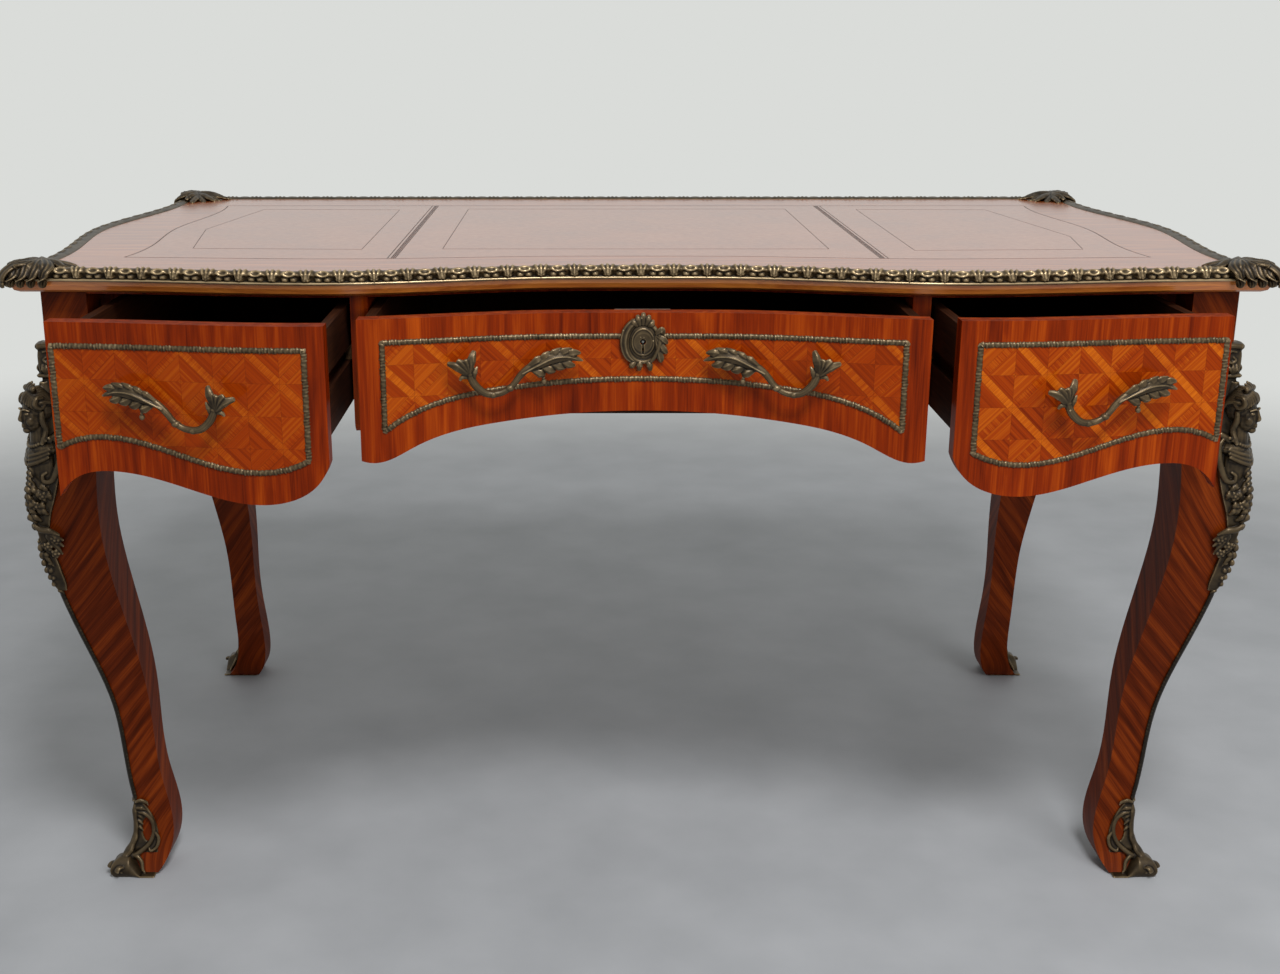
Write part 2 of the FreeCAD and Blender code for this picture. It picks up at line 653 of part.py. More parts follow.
def make_pull(x, z, flip):
    """Cast pull set on the front at x: flip -1 turns the leaf spray to +X."""
    place, angle = front_frame(x, FRONT_OVERHANG)
    shape = bent_rod([vec(flip * px, -PULL_STAND, pz) for px, pz in PULL_STEM])
    for outline in (PULL_LEAF, PULL_FLOWER):
        shape = shape.fuse(plate([vec(flip * px, -PULL_STAND, pz) for px, pz in outline]))
    for px, pz in (PULL_STEM[0], PULL_STEM[-1]):
        start = vec(flip * px, -PULL_STAND, pz)
        foot = Part.makeCylinder(PULL_FOOT_RADIUS, PULL_STAND + FRONT_THICK / 2, start, vec(0, 1))
        shape = shape.fuse(foot)
    shape = moved(shape.rotated(vec(0, 0), vec(0, 0, 1), angle), place.x, place.y, z)
    return largest(shape.cut(front_strip(0, FRONT_THICK)).removeSplitter())


def plate(outline):
    return moved(arc_outline(outline).extrude(vec(0, PULL_PLATE)), 0, -PULL_PLATE / 2)


def bent_rod(corners):
    """Eight-sided rod along straight runs joined by arcs as large as the runs allow."""
    edges = []
    start = corners[0]
    for before, corner, after in zip(corners, corners[1:], corners[2:]):
        back = (before - corner).normalize()
        ahead = (after - corner).normalize()
        run = PULL_BEND_SHARE * min(corner.distanceToPoint(before), corner.distanceToPoint(after))
        enter = corner + back * run
        leave = corner + ahead * run
        bisector = (back + ahead).normalize()
        half_turn = back.getAngle(bisector)
        centre = corner + bisector * (run / cos(half_turn))
        middle = centre - bisector * (run * tan(half_turn))
        edges += [line(start, enter), Part.Arc(enter, middle, leave).toShape()]
        start = leave
    edges.append(line(start, corners[-1]))
    along = (corners[1] - corners[0]).normalize()
    across = along.cross(vec(0, 1))
    turns = [radians(360 * i / PULL_STEM_SIDES) for i in range(PULL_STEM_SIDES + 1)]
    ring = [corners[0] + (across * cos(t) + vec(0, 1) * sin(t)) * PULL_STEM_RADIUS for t in turns]
    return Part.Wire(edges).makePipe(Part.Face(Part.makePolygon(ring)))


def make_side_drawers():
    inner, outer = SIDE_FRONT
    outline = hanging(outer, inner, FRONT_TOP, SIDE_APRON)
    board, parquetry, band = veneered(front_strip, outline, side_field(outer, inner), FRONT_THICK)
    handle = make_pull(PULL_X, FRONT_TOP - PULL_DROP, -1)
    pieces = {"front": board, "parquetry": parquetry, "band": band, "handle": handle}
    for name, pull, place in (("left", LEFT_PULL, mirror_x), ("right", RIGHT_PULL, lambda s: s)):
        for piece, shape in pieces.items():
            nodes[name + "_drawer_" + piece] = moved(place(shape), 0, -pull)
    faces = (PARTITION_OUTER + SIDE_GAP, GUIDE_FACE - SIDE_GAP)
    make_box("right_drawer", *faces, RIGHT_PULL)
    make_box("left_drawer", -faces[1], -faces[0], LEFT_PULL)


def bolt_box(y, z0, z1, grow):
    width = BOLT_WIDTH / 2 + grow
    thick = BOLT_THICK / 2 + grow
    return box(-width, width, y - thick, y + thick, z0, z1)


def make_centre_drawer():
    a, b = CENTRE_FRONT
    outline = hanging(a, b, FRONT_TOP, both_halves(CENTRE_APRON))
    board, parquetry, band = veneered(front_strip, outline, centre_field(a, b), FRONT_THICK)
    key_z = FRONT_TOP - ESCUTCHEON_DROP
    shield = arc_outline([vec(x, -FAR, key_z + z) for x, z in ESCUTCHEON]).extrude(vec(0, 2 * FAR))
    shield = shield.common(front_strip(-ESCUTCHEON_RISE, 0))
    hole = Part.makeCylinder(KEYHOLE_RADIUS, 2 * FAR, vec(0, -FAR, key_z), vec(0, 1))
    slot_half = KEYHOLE_RADIUS / 2
    hole = hole.fuse(box(-slot_half, slot_half, -FAR, FAR, key_z - KEYHOLE_SLOT, key_z))
    face_y = front_frame(0, FRONT_OVERHANG)[0].y
    top = FRONT_TOP - LOCK_TOP_DROP
    back_y = face_y + FRONT_THICK
    case = box(-LOCK_WIDTH / 2, LOCK_WIDTH / 2, face_y, back_y + LOCK_DEPTH, top - LOCK_HEIGHT, top)
    case = case.common(behind_front(FRONT_THICK))
    bolt_y = back_y + LOCK_DEPTH / 2
    bolt = bolt_box(bolt_y, top - BOLT_HEIGHT, top, 0)
    case = case.cut(bolt_box(bolt_y, top - BOLT_HEIGHT - BOLT_PLAY, HEIGHT, BOLT_PLAY))
    pin = Part.makeCylinder(LOCK_PIN_RADIUS, FRONT_THICK + LOCK_DEPTH / 4, vec(0, face_y, key_z), vec(0, 1))
    pulls = [make_pull(CENTRE_PULL_X, FRONT_TOP - CENTRE_PULL_DROP, 1),
             make_pull(-CENTRE_PULL_X, FRONT_TOP - CENTRE_PULL_DROP, -1)]
    pieces = {"front": board.cut(hole), "parquetry": parquetry.cut(hole),
              "band": band.cut(shield), "escutcheon": shield.cut(hole),
              "handles": group(pulls), "lock_case": case.fuse(pin).removeSplitter(),
              "lock_bolt": bolt}
    for piece, shape in pieces.items():
        nodes["centre_drawer_" + piece] = moved(shape, 0, -CENTRE_PULL)
    face = PARTITION_INNER - SIDE_GAP
    make_box("centre_drawer", -face, face, CENTRE_PULL)


make_top()
make_edge_bronzes()
make_legs()
make_carcass()
make_side_drawers()
make_centre_drawer()

whole = group(list(nodes.values())).optimalBoundingBox(False, False)
shift = -(whole.YMin + whole.YMax) / 2
os.makedirs("parts", exist_ok=True)
for name, shape in nodes.items():
    moved(shape, 0, shift).exportStep("parts/" + name + ".step")
print("nodes", len(nodes), "moved along Y by", round(shift, 3))
print("box", round(whole.XLength, 1), round(whole.YLength, 1), round(whole.ZLength, 1))
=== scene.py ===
# %% [markdown]
# # A bureau plat: dressing a writing table
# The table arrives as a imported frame: every board, drawer and bronze is already a solid in its right
# place. This lesson keeps the boards, gives them veneer and leather, and replaces the plain bronze
# solids with cast ornament. Everything is in metres, the front faces -Y and +Z is up.

# %% Load the frame
import bmesh
import bpy
import json
import random
from math import cos, exp, pi, radians, sin, sqrt
from mathutils import Matrix, Vector


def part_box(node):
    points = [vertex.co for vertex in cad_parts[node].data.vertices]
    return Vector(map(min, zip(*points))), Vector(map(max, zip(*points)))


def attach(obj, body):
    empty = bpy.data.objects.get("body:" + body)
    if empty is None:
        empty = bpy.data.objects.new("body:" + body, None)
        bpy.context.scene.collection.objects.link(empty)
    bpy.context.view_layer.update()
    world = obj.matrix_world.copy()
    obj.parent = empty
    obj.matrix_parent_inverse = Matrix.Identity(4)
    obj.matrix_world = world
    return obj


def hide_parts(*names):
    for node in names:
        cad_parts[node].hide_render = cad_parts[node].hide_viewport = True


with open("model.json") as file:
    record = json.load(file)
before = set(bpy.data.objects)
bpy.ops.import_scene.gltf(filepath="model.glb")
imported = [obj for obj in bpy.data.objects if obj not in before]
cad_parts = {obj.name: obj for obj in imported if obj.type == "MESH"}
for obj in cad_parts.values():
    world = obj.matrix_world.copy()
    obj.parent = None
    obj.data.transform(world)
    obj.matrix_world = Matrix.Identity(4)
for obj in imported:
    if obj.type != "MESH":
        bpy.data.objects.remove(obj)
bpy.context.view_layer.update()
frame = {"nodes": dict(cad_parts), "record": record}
NODES = frame["nodes"]
MM = 0.001
UP = Vector((0, 0, 1))

# %% [markdown]
# ## The camera
# The photograph is a crop of a wider picture, so its centre of view lies left of the picture's
# middle. A lens shift says that exactly, while turning the camera would make uprights lean.

# %% Camera
IMAGE_WIDTH = 1280
FOCAL_PIXELS = 1552.1
VIEW_CENTRE_PIXEL = 585.6
SENSOR_WIDTH = 36.0
CAMERA_PLACE = (-0.061, -2.0074, 1.0302)
CAMERA_PITCH = 16.457

camera_data = bpy.data.cameras.new("camera")
camera_data.sensor_width = SENSOR_WIDTH
camera_data.lens = SENSOR_WIDTH * FOCAL_PIXELS / IMAGE_WIDTH
camera_data.shift_x = 0.5 - VIEW_CENTRE_PIXEL / IMAGE_WIDTH
camera = bpy.data.objects.new("camera", camera_data)
camera.location = CAMERA_PLACE
camera.rotation_euler = (radians(90 - CAMERA_PITCH), 0, 0)
scene = bpy.context.scene
scene.collection.objects.link(camera)
scene.camera = camera
print("lens", round(camera_data.lens, 2), "shift", round(camera_data.shift_x, 4))

# %% [markdown]
# ## Writing materials
# Colours are written as the hex values a colour picker shows and turned to linear light here.
# One function adds a node, sets it up and wires its inputs: a number stays on the socket, while a
# node or a socket becomes a link. Inputs go by name or number, or in order as a list. A colour ramp
# takes its stops as pairs of place and colour.


# %% Node helper
def hexa(code):
    channels = [int(code[i:i + 2], 16) / 255 for i in (1, 3, 5)]
    return tuple(c / 12.92 if c <= 0.04045 else ((c + 0.055) / 1.055) ** 2.4 for c in channels) + (1,)


def add(owner, kind, inputs, stops=(), **settings):
    node = owner.node_tree.nodes.new("ShaderNode" + kind)
    for name, value in settings.items():
        setattr(node, name, value)
    for index, (spot, code) in enumerate(stops):
        ramp = node.color_ramp.elements
        stop = ramp[index] if index < 2 else ramp.new(spot)
        stop.position, stop.color = spot, hexa(code)
    for key, value in inputs.items() if isinstance(inputs, dict) else enumerate(inputs):
        value = value.outputs[0] if isinstance(value, bpy.types.Node) else value
        if isinstance(value, bpy.types.NodeSocket):
            owner.node_tree.links.new(value, node.inputs[key])
        else:
            node.inputs[key].default_value = value
    return node


def blank_material(name):
    """Empty material, and the Object coordinates that its patterns lie on."""
    material = bpy.data.materials.new(name)
    material.use_nodes = True
    material.node_tree.nodes.clear()
    return material, add(material, "TexCoord", {}).outputs["Object"]


print("helpers ready")

# %% [markdown]
# ## Light and floor
# A broad lamp high in front, as in a plain studio, throws a soft shadow under the table. The world
# fills the rest evenly at half the level that the eye sees, so the pale wall adds no glare, and the
# floor runs into that wall without an edge. The fill lamp keeps out of reflections.

# %% Light
WALL = "#dfe1de"
WALL_LEVEL, FILL_LEVEL = 0.95, 0.5


def seen_rays(owner):
    """1 for rays that show the wall as it is: straight ones, reflections and those through glass."""
    rays = add(owner, "LightPath", {})
    seen = 0.0
    for ray in ("Is Camera Ray", "Is Glossy Ray", "Is Transmission Ray"):
        seen = add(owner, "Math", [rays.outputs[ray], seen], operation="MAXIMUM")
    return seen


def lamp(name, place, target, size, power):
    data = bpy.data.lights.new(name, "AREA")
    data.shape = "DISK"
    data.size = size
    data.energy = power
    obj = bpy.data.objects.new(name, data)
    obj.location = place
    obj.rotation_euler = (Vector(target) - Vector(place)).to_track_quat("-Z", "Y").to_euler()
    scene.collection.objects.link(obj)
    return obj


scene.view_settings.view_transform = "Standard"
studio = bpy.data.worlds.new("studio")
studio.use_nodes = True
studio.node_tree.nodes.clear()
scene.world = studio
level = add(studio, "Mix", {0: seen_rays(studio), 2: FILL_LEVEL, 3: WALL_LEVEL})
wall = add(studio, "Background", {"Color": hexa(WALL), "Strength": level})
add(studio, "OutputWorld", {"Surface": wall})
lamp("key_lamp", place=(0.35, -2.2, 3.2), target=(0, 0, 0.5), size=0.8, power=70)
fill = lamp("fill_lamp", place=(1.8, -2.6, 1.8), target=(0.2, 0, 0.5), size=2.0, power=36)
fill.visible_glossy = False
print("lamps", len(bpy.data.lights))

# %% Floor
FLOOR_HALF = 12
FADE_FROM, FADE_TO = 1.6, 3.4
CLOUD = 1 / (160 * MM)

ground = bmesh.new()
bmesh.ops.create_grid(ground, x_segments=1, y_segments=1, size=FLOOR_HALF)
floor_mesh = bpy.data.meshes.new("floor")
ground.to_mesh(floor_mesh)
ground.free()
floor = bpy.data.objects.new("floor", floor_mesh)
scene.collection.objects.link(floor)

# Painted concrete, trowelled: an even pale grey with soft clouds.
concrete, spot = blank_material("painted_concrete_trowelled")
clouds = add(concrete, "TexNoise", {"Vector": spot, "Scale": CLOUD, "Detail": 5.0})
tint = add(concrete, "ValToRGB", {"Fac": clouds}, stops=((0.3, "#a6a8ac"), (0.7, "#b3b5b9")))
skin = add(concrete, "BsdfPrincipled", {"Base Color": tint, "Roughness": 0.6})
away = add(concrete, "VectorMath", [spot], operation="LENGTH")
fade = add(concrete, "MapRange", {"Value": away.outputs["Value"], "From Min": FADE_FROM, "From Max": FADE_TO},
           interpolation_type="SMOOTHSTEP")
fade = add(concrete, "Math", [fade, seen_rays(concrete)], operation="MULTIPLY")
sweep = add(concrete, "Emission", {"Color": hexa(WALL), "Strength": WALL_LEVEL})
cove = add(concrete, "MixShader", [fade, skin, sweep])
add(concrete, "OutputMaterial", {"Surface": cove})
floor_mesh.materials.append(concrete)
print("floor", floor.name)

# %% [markdown]
# ## Straight-grained veneer
# The borders of the drawer fronts are tulipwood laid with its grain upright, in leaves a few
# centimetres wide. Noise stretched along the grain gives the fibres, a coarser noise the streaks, and
# each leaf gets its own tone. French polish is a thin clear coat, so the coat carries the gloss.

# %% Tulipwood crossbanding
FIBRE = 1 / (1.6 * MM)
STREAK = 1 / (11 * MM)
LEAF = 1 / (46 * MM)
PORE_DEPTH = 0.2 * MM
OILED = {"Roughness": 0.45, "Specular IOR Level": 0.05}
POLISH = {"Coat Weight": 0.1, "Coat Roughness": 0.1}


def blend(owner, total, *patterns):
    """Sum of patterns, each with its share."""
    for pattern, share in patterns:
        total = add(owner, "Math", [pattern, share, total], operation="MULTIPLY_ADD")
    return total


def grain_lines(wood, spot, scales, detail, distortion=0.0):
    """Noise drawn out along the grain, with a scale for each axis."""
    drawn = add(wood, "Mapping", {"Vector": spot, "Scale": scales})
    return add(wood, "TexNoise", {"Vector": drawn, "Scale": 1.0, "Detail": detail, "Distortion": distortion})


# Tulipwood, sliced and French polished: warm streaks under a soft gloss.
tulipwood, spot = blank_material("tulipwood_crossband_polished")
fibre = grain_lines(tulipwood, spot, (FIBRE, FIBRE, FIBRE / 60), 3.0)
streak = grain_lines(tulipwood, spot, (STREAK, STREAK, STREAK / 12), 4.0, 0.6)
leaves = add(tulipwood, "Mapping", {"Vector": spot, "Scale": (LEAF, LEAF, 0.0)})
leaf = add(tulipwood, "VectorMath", [leaves], operation="FLOOR")
leaf_tone = add(tulipwood, "TexWhiteNoise", {"Vector": leaf})
grain = blend(tulipwood, -0.04, (streak, 0.62), (fibre, 0.34), (leaf_tone, 0.12))
tones = add(tulipwood, "ValToRGB", {"Fac": grain},
            stops=((0.3, "#501200"), (0.5, "#7e2600"), (0.76, "#ad4807")))
pores = add(tulipwood, "Bump", {"Strength": 0.12, "Distance": PORE_DEPTH, "Height": fibre})
skin = add(tulipwood, "BsdfPrincipled", {"Base Color": tones, "Normal": pores, **OILED, **POLISH})
add(tulipwood, "OutputMaterial", {"Surface": skin})
print("material", tulipwood.name)

# %% [markdown]
# ## Parquetry
# The fields are a trellis of narrow strips laid on the skew, and each opening is filled with four
# triangles whose grain runs along the opening's sides. Two skewed coordinates measure the way across
# the strips, so their fractions place every joint. The larger of the two says which triangle a spot
# is in, and grain drawn along it gives the nested squares that the eye sees.

# %% Parquetry
TRELLIS = 69 * MM
STRIP_SHARE = 0.17
RING_GRAIN = 34.0
RUNG_GRAIN = 52.0


# Kingwood and tulipwood, cut and glued to a pattern, then polished; the sheen that light gives each grain
# direction is painted into its tone.
def parquetry(name, centre_x, centre_z, painted_sheen, figured):
    wood, spot = blank_material(name)
    parts = add(wood, "SeparateXYZ", [spot])
    facing = add(wood, "NewGeometry", {})
    facing = add(wood, "SeparateXYZ", [facing.outputs["True Normal"]])
    facing = add(wood, "Math", [facing.outputs["X"]], operation="ABSOLUTE")
    sideways = add(wood, "Math", [facing, 0.7], operation="GREATER_THAN")
    width = add(wood, "Mix", {0: sideways, 2: parts.outputs["X"], 3: parts.outputs["Y"]})
    skews, cells, offs = [], [], []
    for sign, middle in ((1, centre_z + centre_x), (-1, centre_z - centre_x)):
        skew = add(wood, "Math", [width, sign, parts.outputs["Z"]], operation="MULTIPLY_ADD")
        skew = add(wood, "Math", [skew, middle], operation="SUBTRACT")
        skew = add(wood, "Math", [skew, TRELLIS], operation="DIVIDE")
        skew = add(wood, "Math", [skew, 0.5], operation="ADD")
        share = add(wood, "Math", [skew], operation="FRACT")
        share = add(wood, "Math", [share, 0.5], operation="SUBTRACT")
        skews.append(skew)
        cells.append(add(wood, "Math", [skew], operation="FLOOR"))
        offs.append(add(wood, "Math", [share], operation="ABSOLUTE"))
    cell = add(wood, "CombineXYZ", cells)
    cell_tone = add(wood, "TexWhiteNoise", {"Vector": cell})
    far = add(wood, "Math", offs, operation="MAXIMUM")
    rising = add(wood, "Math", offs[::-1], operation="GREATER_THAN")
    edge = 0.5 - STRIP_SHARE / 2
    falling_strip = add(wood, "Math", [offs[0], edge], operation="GREATER_THAN")
    strip = add(wood, "Math", [far, edge], operation="GREATER_THAN")
    # fibres: across the strips, and along the sides of the openings
    ring = add(wood, "Math", [far, RING_GRAIN], operation="MULTIPLY")
    seed = add(wood, "Math", [cell_tone, 40.0, rising], operation="MULTIPLY_ADD")
    nested = add(wood, "CombineXYZ", [ring, seed])
    nested = add(wood, "TexNoise", {"Vector": nested, "Scale": 0.5, "Detail": 4.0, "Roughness": 0.6})
    run = add(wood, "Mix", {0: falling_strip, 2: skews[0], 3: skews[1]})
    run = add(wood, "Math", [run, RUNG_GRAIN], operation="MULTIPLY")
    rungs = add(wood, "CombineXYZ", [run, far])
    rungs = add(wood, "TexNoise", {"Vector": rungs, "Scale": 1.0, "Detail": 3.0})
    rungs = add(wood, "Math", [rungs, 0.85, 0.08], operation="MULTIPLY_ADD")
    figure = add(wood, "Mix", {0: strip, 2: nested, 3: rungs})
    # tone: painted sheen, one grain direction and one set of strips painted lighter than the other
    painted_shine = add(wood, "Math", [rising, 0.16 * painted_sheen, -0.08 * painted_sheen], operation="MULTIPLY_ADD")
    painted_strip_sheen = add(wood, "Math", [falling_strip, 0.24 * painted_sheen, 0.02], operation="MULTIPLY_ADD")
    tone = add(wood, "Mix", {0: strip, 2: painted_shine, 3: painted_strip_sheen})
    tone = blend(wood, tone, (figure, figured), (cell_tone, 0.12))
    tone = add(wood, "Math", [tone, 0.5 * (0.95 - figured)], operation="ADD")
    tones = add(wood, "ValToRGB", {"Fac": tone}, stops=((0.26, "#601700"), (0.54, "#943402"), (0.9, "#c5640f")))
    # joints: a hair line beside each strip and where two triangles meet
    gaps = []
    for pair in ([far, edge], offs):
        gap = add(wood, "Math", pair, operation="SUBTRACT")
        gaps.append(add(wood, "Math", [gap], operation="ABSOLUTE"))
    gap = add(wood, "Math", gaps, operation="MINIMUM")
    joint = add(wood, "MapRange", {"Value": gap, "From Min": 0.003, "From Max": 0.012, "To Min": 0.3, "To Max": 0.0})
    lined = add(wood, "Mix", {0: joint, 6: tones, 7: hexa("#3c1504")}, data_type="RGBA")
    pores = add(wood, "Bump", {"Strength": 0.15, "Distance": PORE_DEPTH, "Height": figure})
    skin = add(wood, "BsdfPrincipled", {"Base Color": lined.outputs[2], "Normal": pores, **OILED, **POLISH})
    add(wood, "OutputMaterial", {"Surface": skin})
    print("material", wood.name)
    return wood


# The third number is the strength of the painted sheen, which grows from the left drawer to the right one.
PARQUETRY = {
    "left_drawer_parquetry": parquetry("kingwood_parquetry_left", -0.373, 0.648, 0.35, 0.6),
    "centre_drawer_parquetry": parquetry("kingwood_parquetry_centre", 0.035, 0.624, 0.5, 0.75),
    "right_drawer_parquetry": parquetry("kingwood_parquetry_right", 0.4535, 0.6848, 0.8, 0.85),
    "frieze_parquetry": parquetry("kingwood_parquetry_frieze", 0.0, 0.66, 0.6, 0.8),
}

# %% [markdown]
# ## Leg veneer
# Bent legs are veneered with the grain running slantwise down each face. The same stretched noise as
# before works here once the way round the leg and the height are turned together by the slant.

# %% Leg veneer
SLANT = radians(33)
middle_y = sum(c.y for node in ("leg_front_left", "leg_rear_left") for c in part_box(node)) / 4

# Kingwood, laid slantwise and polished: dark stripes that lean inward, with a soft gloss.
kingwood, spot = blank_material("kingwood_leg_veneer_polished")
parts = add(kingwood, "SeparateXYZ", [spot])
side = add(kingwood, "Math", [parts.outputs["X"]], operation="ABSOLUTE")
depth = add(kingwood, "Math", [parts.outputs["Y"], middle_y], operation="SUBTRACT")
depth = add(kingwood, "Math", [depth], operation="ABSOLUTE")
round_leg = add(kingwood, "Math", [side, depth], operation="ADD")
unrolled = add(kingwood, "CombineXYZ", {0: round_leg, 2: parts.outputs["Z"]})
turned = add(kingwood, "VectorRotate", {"Vector": unrolled, "Angle": SLANT}, rotation_type="Y_AXIS")
fibre = grain_lines(kingwood, turned, (FIBRE, FIBRE, FIBRE / 50), 3.0)
streak = grain_lines(kingwood, turned, (STREAK, STREAK, STREAK / 14), 4.0, 0.5)
grain = blend(kingwood, 0.0, (fibre, 0.35), (streak, 0.65))
tones = add(kingwood, "ValToRGB", {"Fac": grain}, stops=((0.32, "#330e01"), (0.5, "#5e2105"), (0.7, "#8a3b0d")))
pores = add(kingwood, "Bump", {"Strength": 0.12, "Distance": PORE_DEPTH, "Height": fibre})
skin = add(kingwood, "BsdfPrincipled", {"Base Color": tones, "Normal": pores, **OILED,
                                        "Coat Weight": 0.06, "Coat Roughness": 0.12})
add(kingwood, "OutputMaterial", {"Surface": skin})
print("material", kingwood.name)

# %% [markdown]
# ## The writing surface
# The border of the top is polished veneer, and the three panels are skiver leather, waxed until it
# shines. The board's rounded lip is straight-grained wood painted paler, as painted light, since the
# moulding above leaves it in shade. Both take a sheen of the bright wall. Leather keeps its pebbled
# grain and fine creases, so a cell pattern of about a millimetre goes into its bump, and slow noise
# into its colour.

# %% Top veneer
LIP_LIGHT_TILT = 0.6

# Tulipwood, flat laid and polished: a red-brown board with a clear reflection.
top_veneer, spot = blank_material("tulipwood_top_polished")
fibre = grain_lines(top_veneer, spot, (FIBRE / 40, FIBRE, FIBRE), 3.0)
streak = grain_lines(top_veneer, spot, (STREAK / 10, STREAK, STREAK), 4.0)
facing = add(top_veneer, "NewGeometry", {})
facing = add(top_veneer, "SeparateXYZ", [facing.outputs["True Normal"]])
# painted light: faces not turned up, such as the rounded lip in the moulding's shade, are painted paler
painted_lip_light = add(top_veneer, "Math", [facing.outputs["Z"], LIP_LIGHT_TILT], operation="LESS_THAN")
grain = blend(top_veneer, 0.0, (fibre, 0.35), (streak, 0.65), (painted_lip_light, 0.24))
tones = add(top_veneer, "ValToRGB", {"Fac": grain},
            stops=((0.3, "#7a3410"), (0.5, "#9a4c1b"), (0.66, "#b4622a"), (0.9, "#e08a38")))
skin = add(top_veneer, "BsdfPrincipled", {"Base Color": tones, "Roughness": 0.36,
                                          "Coat Weight": 0.8, "Coat Roughness": 0.16})
add(top_veneer, "OutputMaterial", {"Surface": skin})
print("material", top_veneer.name)

# %% Leather
PEBBLE = 1 / (1.3 * MM)
CREASE = PEBBLE / 7
STAIN = 1 / (90 * MM)

# Skiver leather, waxed: a dull red-brown with a soft sheen, darker in worn patches.
leather, spot = blank_material("skiver_leather_waxed")
pebble = add(leather, "TexVoronoi", {"Vector": spot, "Scale": PEBBLE})
crease = add(leather, "TexNoise", {"Vector": spot, "Scale": CREASE, "Detail": 6.0})
stain = add(leather, "TexNoise", {"Vector": spot, "Scale": STAIN, "Detail": 6.0, "Roughness": 0.65})
worn = blend(leather, 0.0, (crease, 0.4), (stain, 0.6))
tones = add(leather, "ValToRGB", {"Fac": worn}, stops=((0.33, "#8f5a46"), (0.5, "#a26a53"), (0.68, "#b07a63")))
relief = add(leather, "Math", [crease, 0.8, pebble], operation="MULTIPLY_ADD")
bump = add(leather, "Bump", {"Strength": 0.2, "Distance": 0.3 * MM, "Height": relief})
gloss = add(leather, "MapRange", {"Value": stain, "To Min": 0.34, "To Max": 0.5})
skin = add(leather, "BsdfPrincipled", {"Base Color": tones, "Normal": bump, "Roughness": gloss,
                                       "Coat Weight": 0.8, "Coat Roughness": 0.18})
add(leather, "OutputMaterial", {"Surface": skin})
print("material", leather.name)

# %% [markdown]
# ## Bronze, plain wood and steel
# The mounts are cast bronze that has lost its gilding: brown in the hollows, rubbed bright on the
# high spots. The shader can tell hollows from ridges by the pointiness of the mesh, and where on that
# scale the wear begins differs: the front edge of the top is rubbed by sleeves and painted paler still
# as a painted highlight, the pulls are handled, the thin bands stay dark, and the beads down the legs
# are almost black. Drawer insides are plain sawn wood, darkened by age and darker still as painted
# shade, and the lock is filed steel.

# %% Bronze
TARNISH = 1 / (14 * MM)


# Bronze, cast and chased: dark brown hollows, pale rubbed ridges, a dull shine.
def cast_bronze(name, hollow, ridge):
    metal, spot = blank_material(name)
    shape = add(metal, "NewGeometry", {})
    tarnish = add(metal, "TexNoise", {"Vector": spot, "Scale": TARNISH, "Detail": 6.0})
    rubbed = add(metal, "MapRange", {"Value": shape.outputs["Pointiness"], "From Min": hollow, "From Max": ridge})
    wear = blend(metal, -0.22, (tarnish, 0.5), (rubbed, 0.9))
    tones = add(metal, "ValToRGB", {"Fac": wear}, stops=((0.08, "#20180e"), (0.42, "#5c4c34"), (0.9, "#bca47e")))
    dull = add(metal, "MapRange", {"Value": wear, "To Min": 0.45, "To Max": 0.28})
    skin = add(metal, "BsdfPrincipled", {"Base Color": tones, "Roughness": dull, "Metallic": 0.6})
    add(metal, "OutputMaterial", {"Surface": skin})
    print("material", metal.name)
    return metal


bronze = cast_bronze("bronze_cast_patinated", 0.48, 0.6)
handled_bronze = cast_bronze("bronze_cast_handled", 0.475, 0.57)
# Rubbed on its ridges, and paler still there as a painted highlight.
rubbed_highlit_bronze = cast_bronze("bronze_cast_rubbed_painted_highlight", 0.445, 0.585)
dark_bronze = cast_bronze("bronze_cast_darkened", 0.5, 0.63)
black_bronze = cast_bronze("bronze_cast_blackened", 0.55, 0.7)


# %% Drawer wood, runner wood and steel
def plain_finish(name, scales, detail, dark, light, surface):
    """One stretched grain between two tones."""
    material, spot = blank_material(name)
    lines = grain_lines(material, spot, scales, detail)
    tones = add(material, "ValToRGB", {"Fac": lines}, stops=((0.3, dark), (0.7, light)))
    skin = add(material, "BsdfPrincipled", {"Base Color": tones, **surface})
    add(material, "OutputMaterial", {"Surface": skin})
    print("material", material.name)
    return material


# Oak, sawn and planed: pores drawn out along the drawer, darkened by age and darker still as painted shade.
shaded_drawer_oak = plain_finish("oak_drawer_planed_painted_shade", (FIBRE, FIBRE / 40, FIBRE), 4.0, "#1f0c05", "#3c1e0d",
                          {"Roughness": 0.7, "Specular IOR Level": 0.1})
# Oak, sawn rough: the same wood left pale and dry.
runner_oak = plain_finish("oak_runner_sawn", (FIBRE, FIBRE / 30, FIBRE), 4.0, "#5f4024", "#8f6a42",
                          {"Roughness": 0.75})
# Steel, filed by hand: grey with fine level scratches.
steel = plain_finish("steel_filed", (FIBRE / 20, FIBRE, FIBRE * 2), 3.0, "#6d6c69", "#9b9a96",
                     {"Roughness": 0.38, "Metallic": 1.0})

# %% Dress the solids
FINISH = {"top_veneer": top_veneer, "leather": leather, "crossband_veneer": tulipwood, "leg_veneer": kingwood,
          "drawer_wood": shaded_drawer_oak, "runner_wood": runner_oak, "bronze": bronze, "lock_steel": steel}
for entry in frame["record"]["subparts"]:
    coats = NODES[entry["node"]].data.materials
    coats.clear()
    coats.append(PARQUETRY.get(entry["node"]) or FINISH[entry["material_slot"]])
print("dressed", len(NODES))

# %% [markdown]
# ## Tools for cast ornament
# A founder models ornament in wax: ropes, leaves and balls pressed together and cast as one. The same
# works in Blender. A grid rolled round a smooth line makes a rope or a leaf, many of them overlap, and
# a voxel remesh melts them into one skin, which a few rounds of smoothing soften like wax.


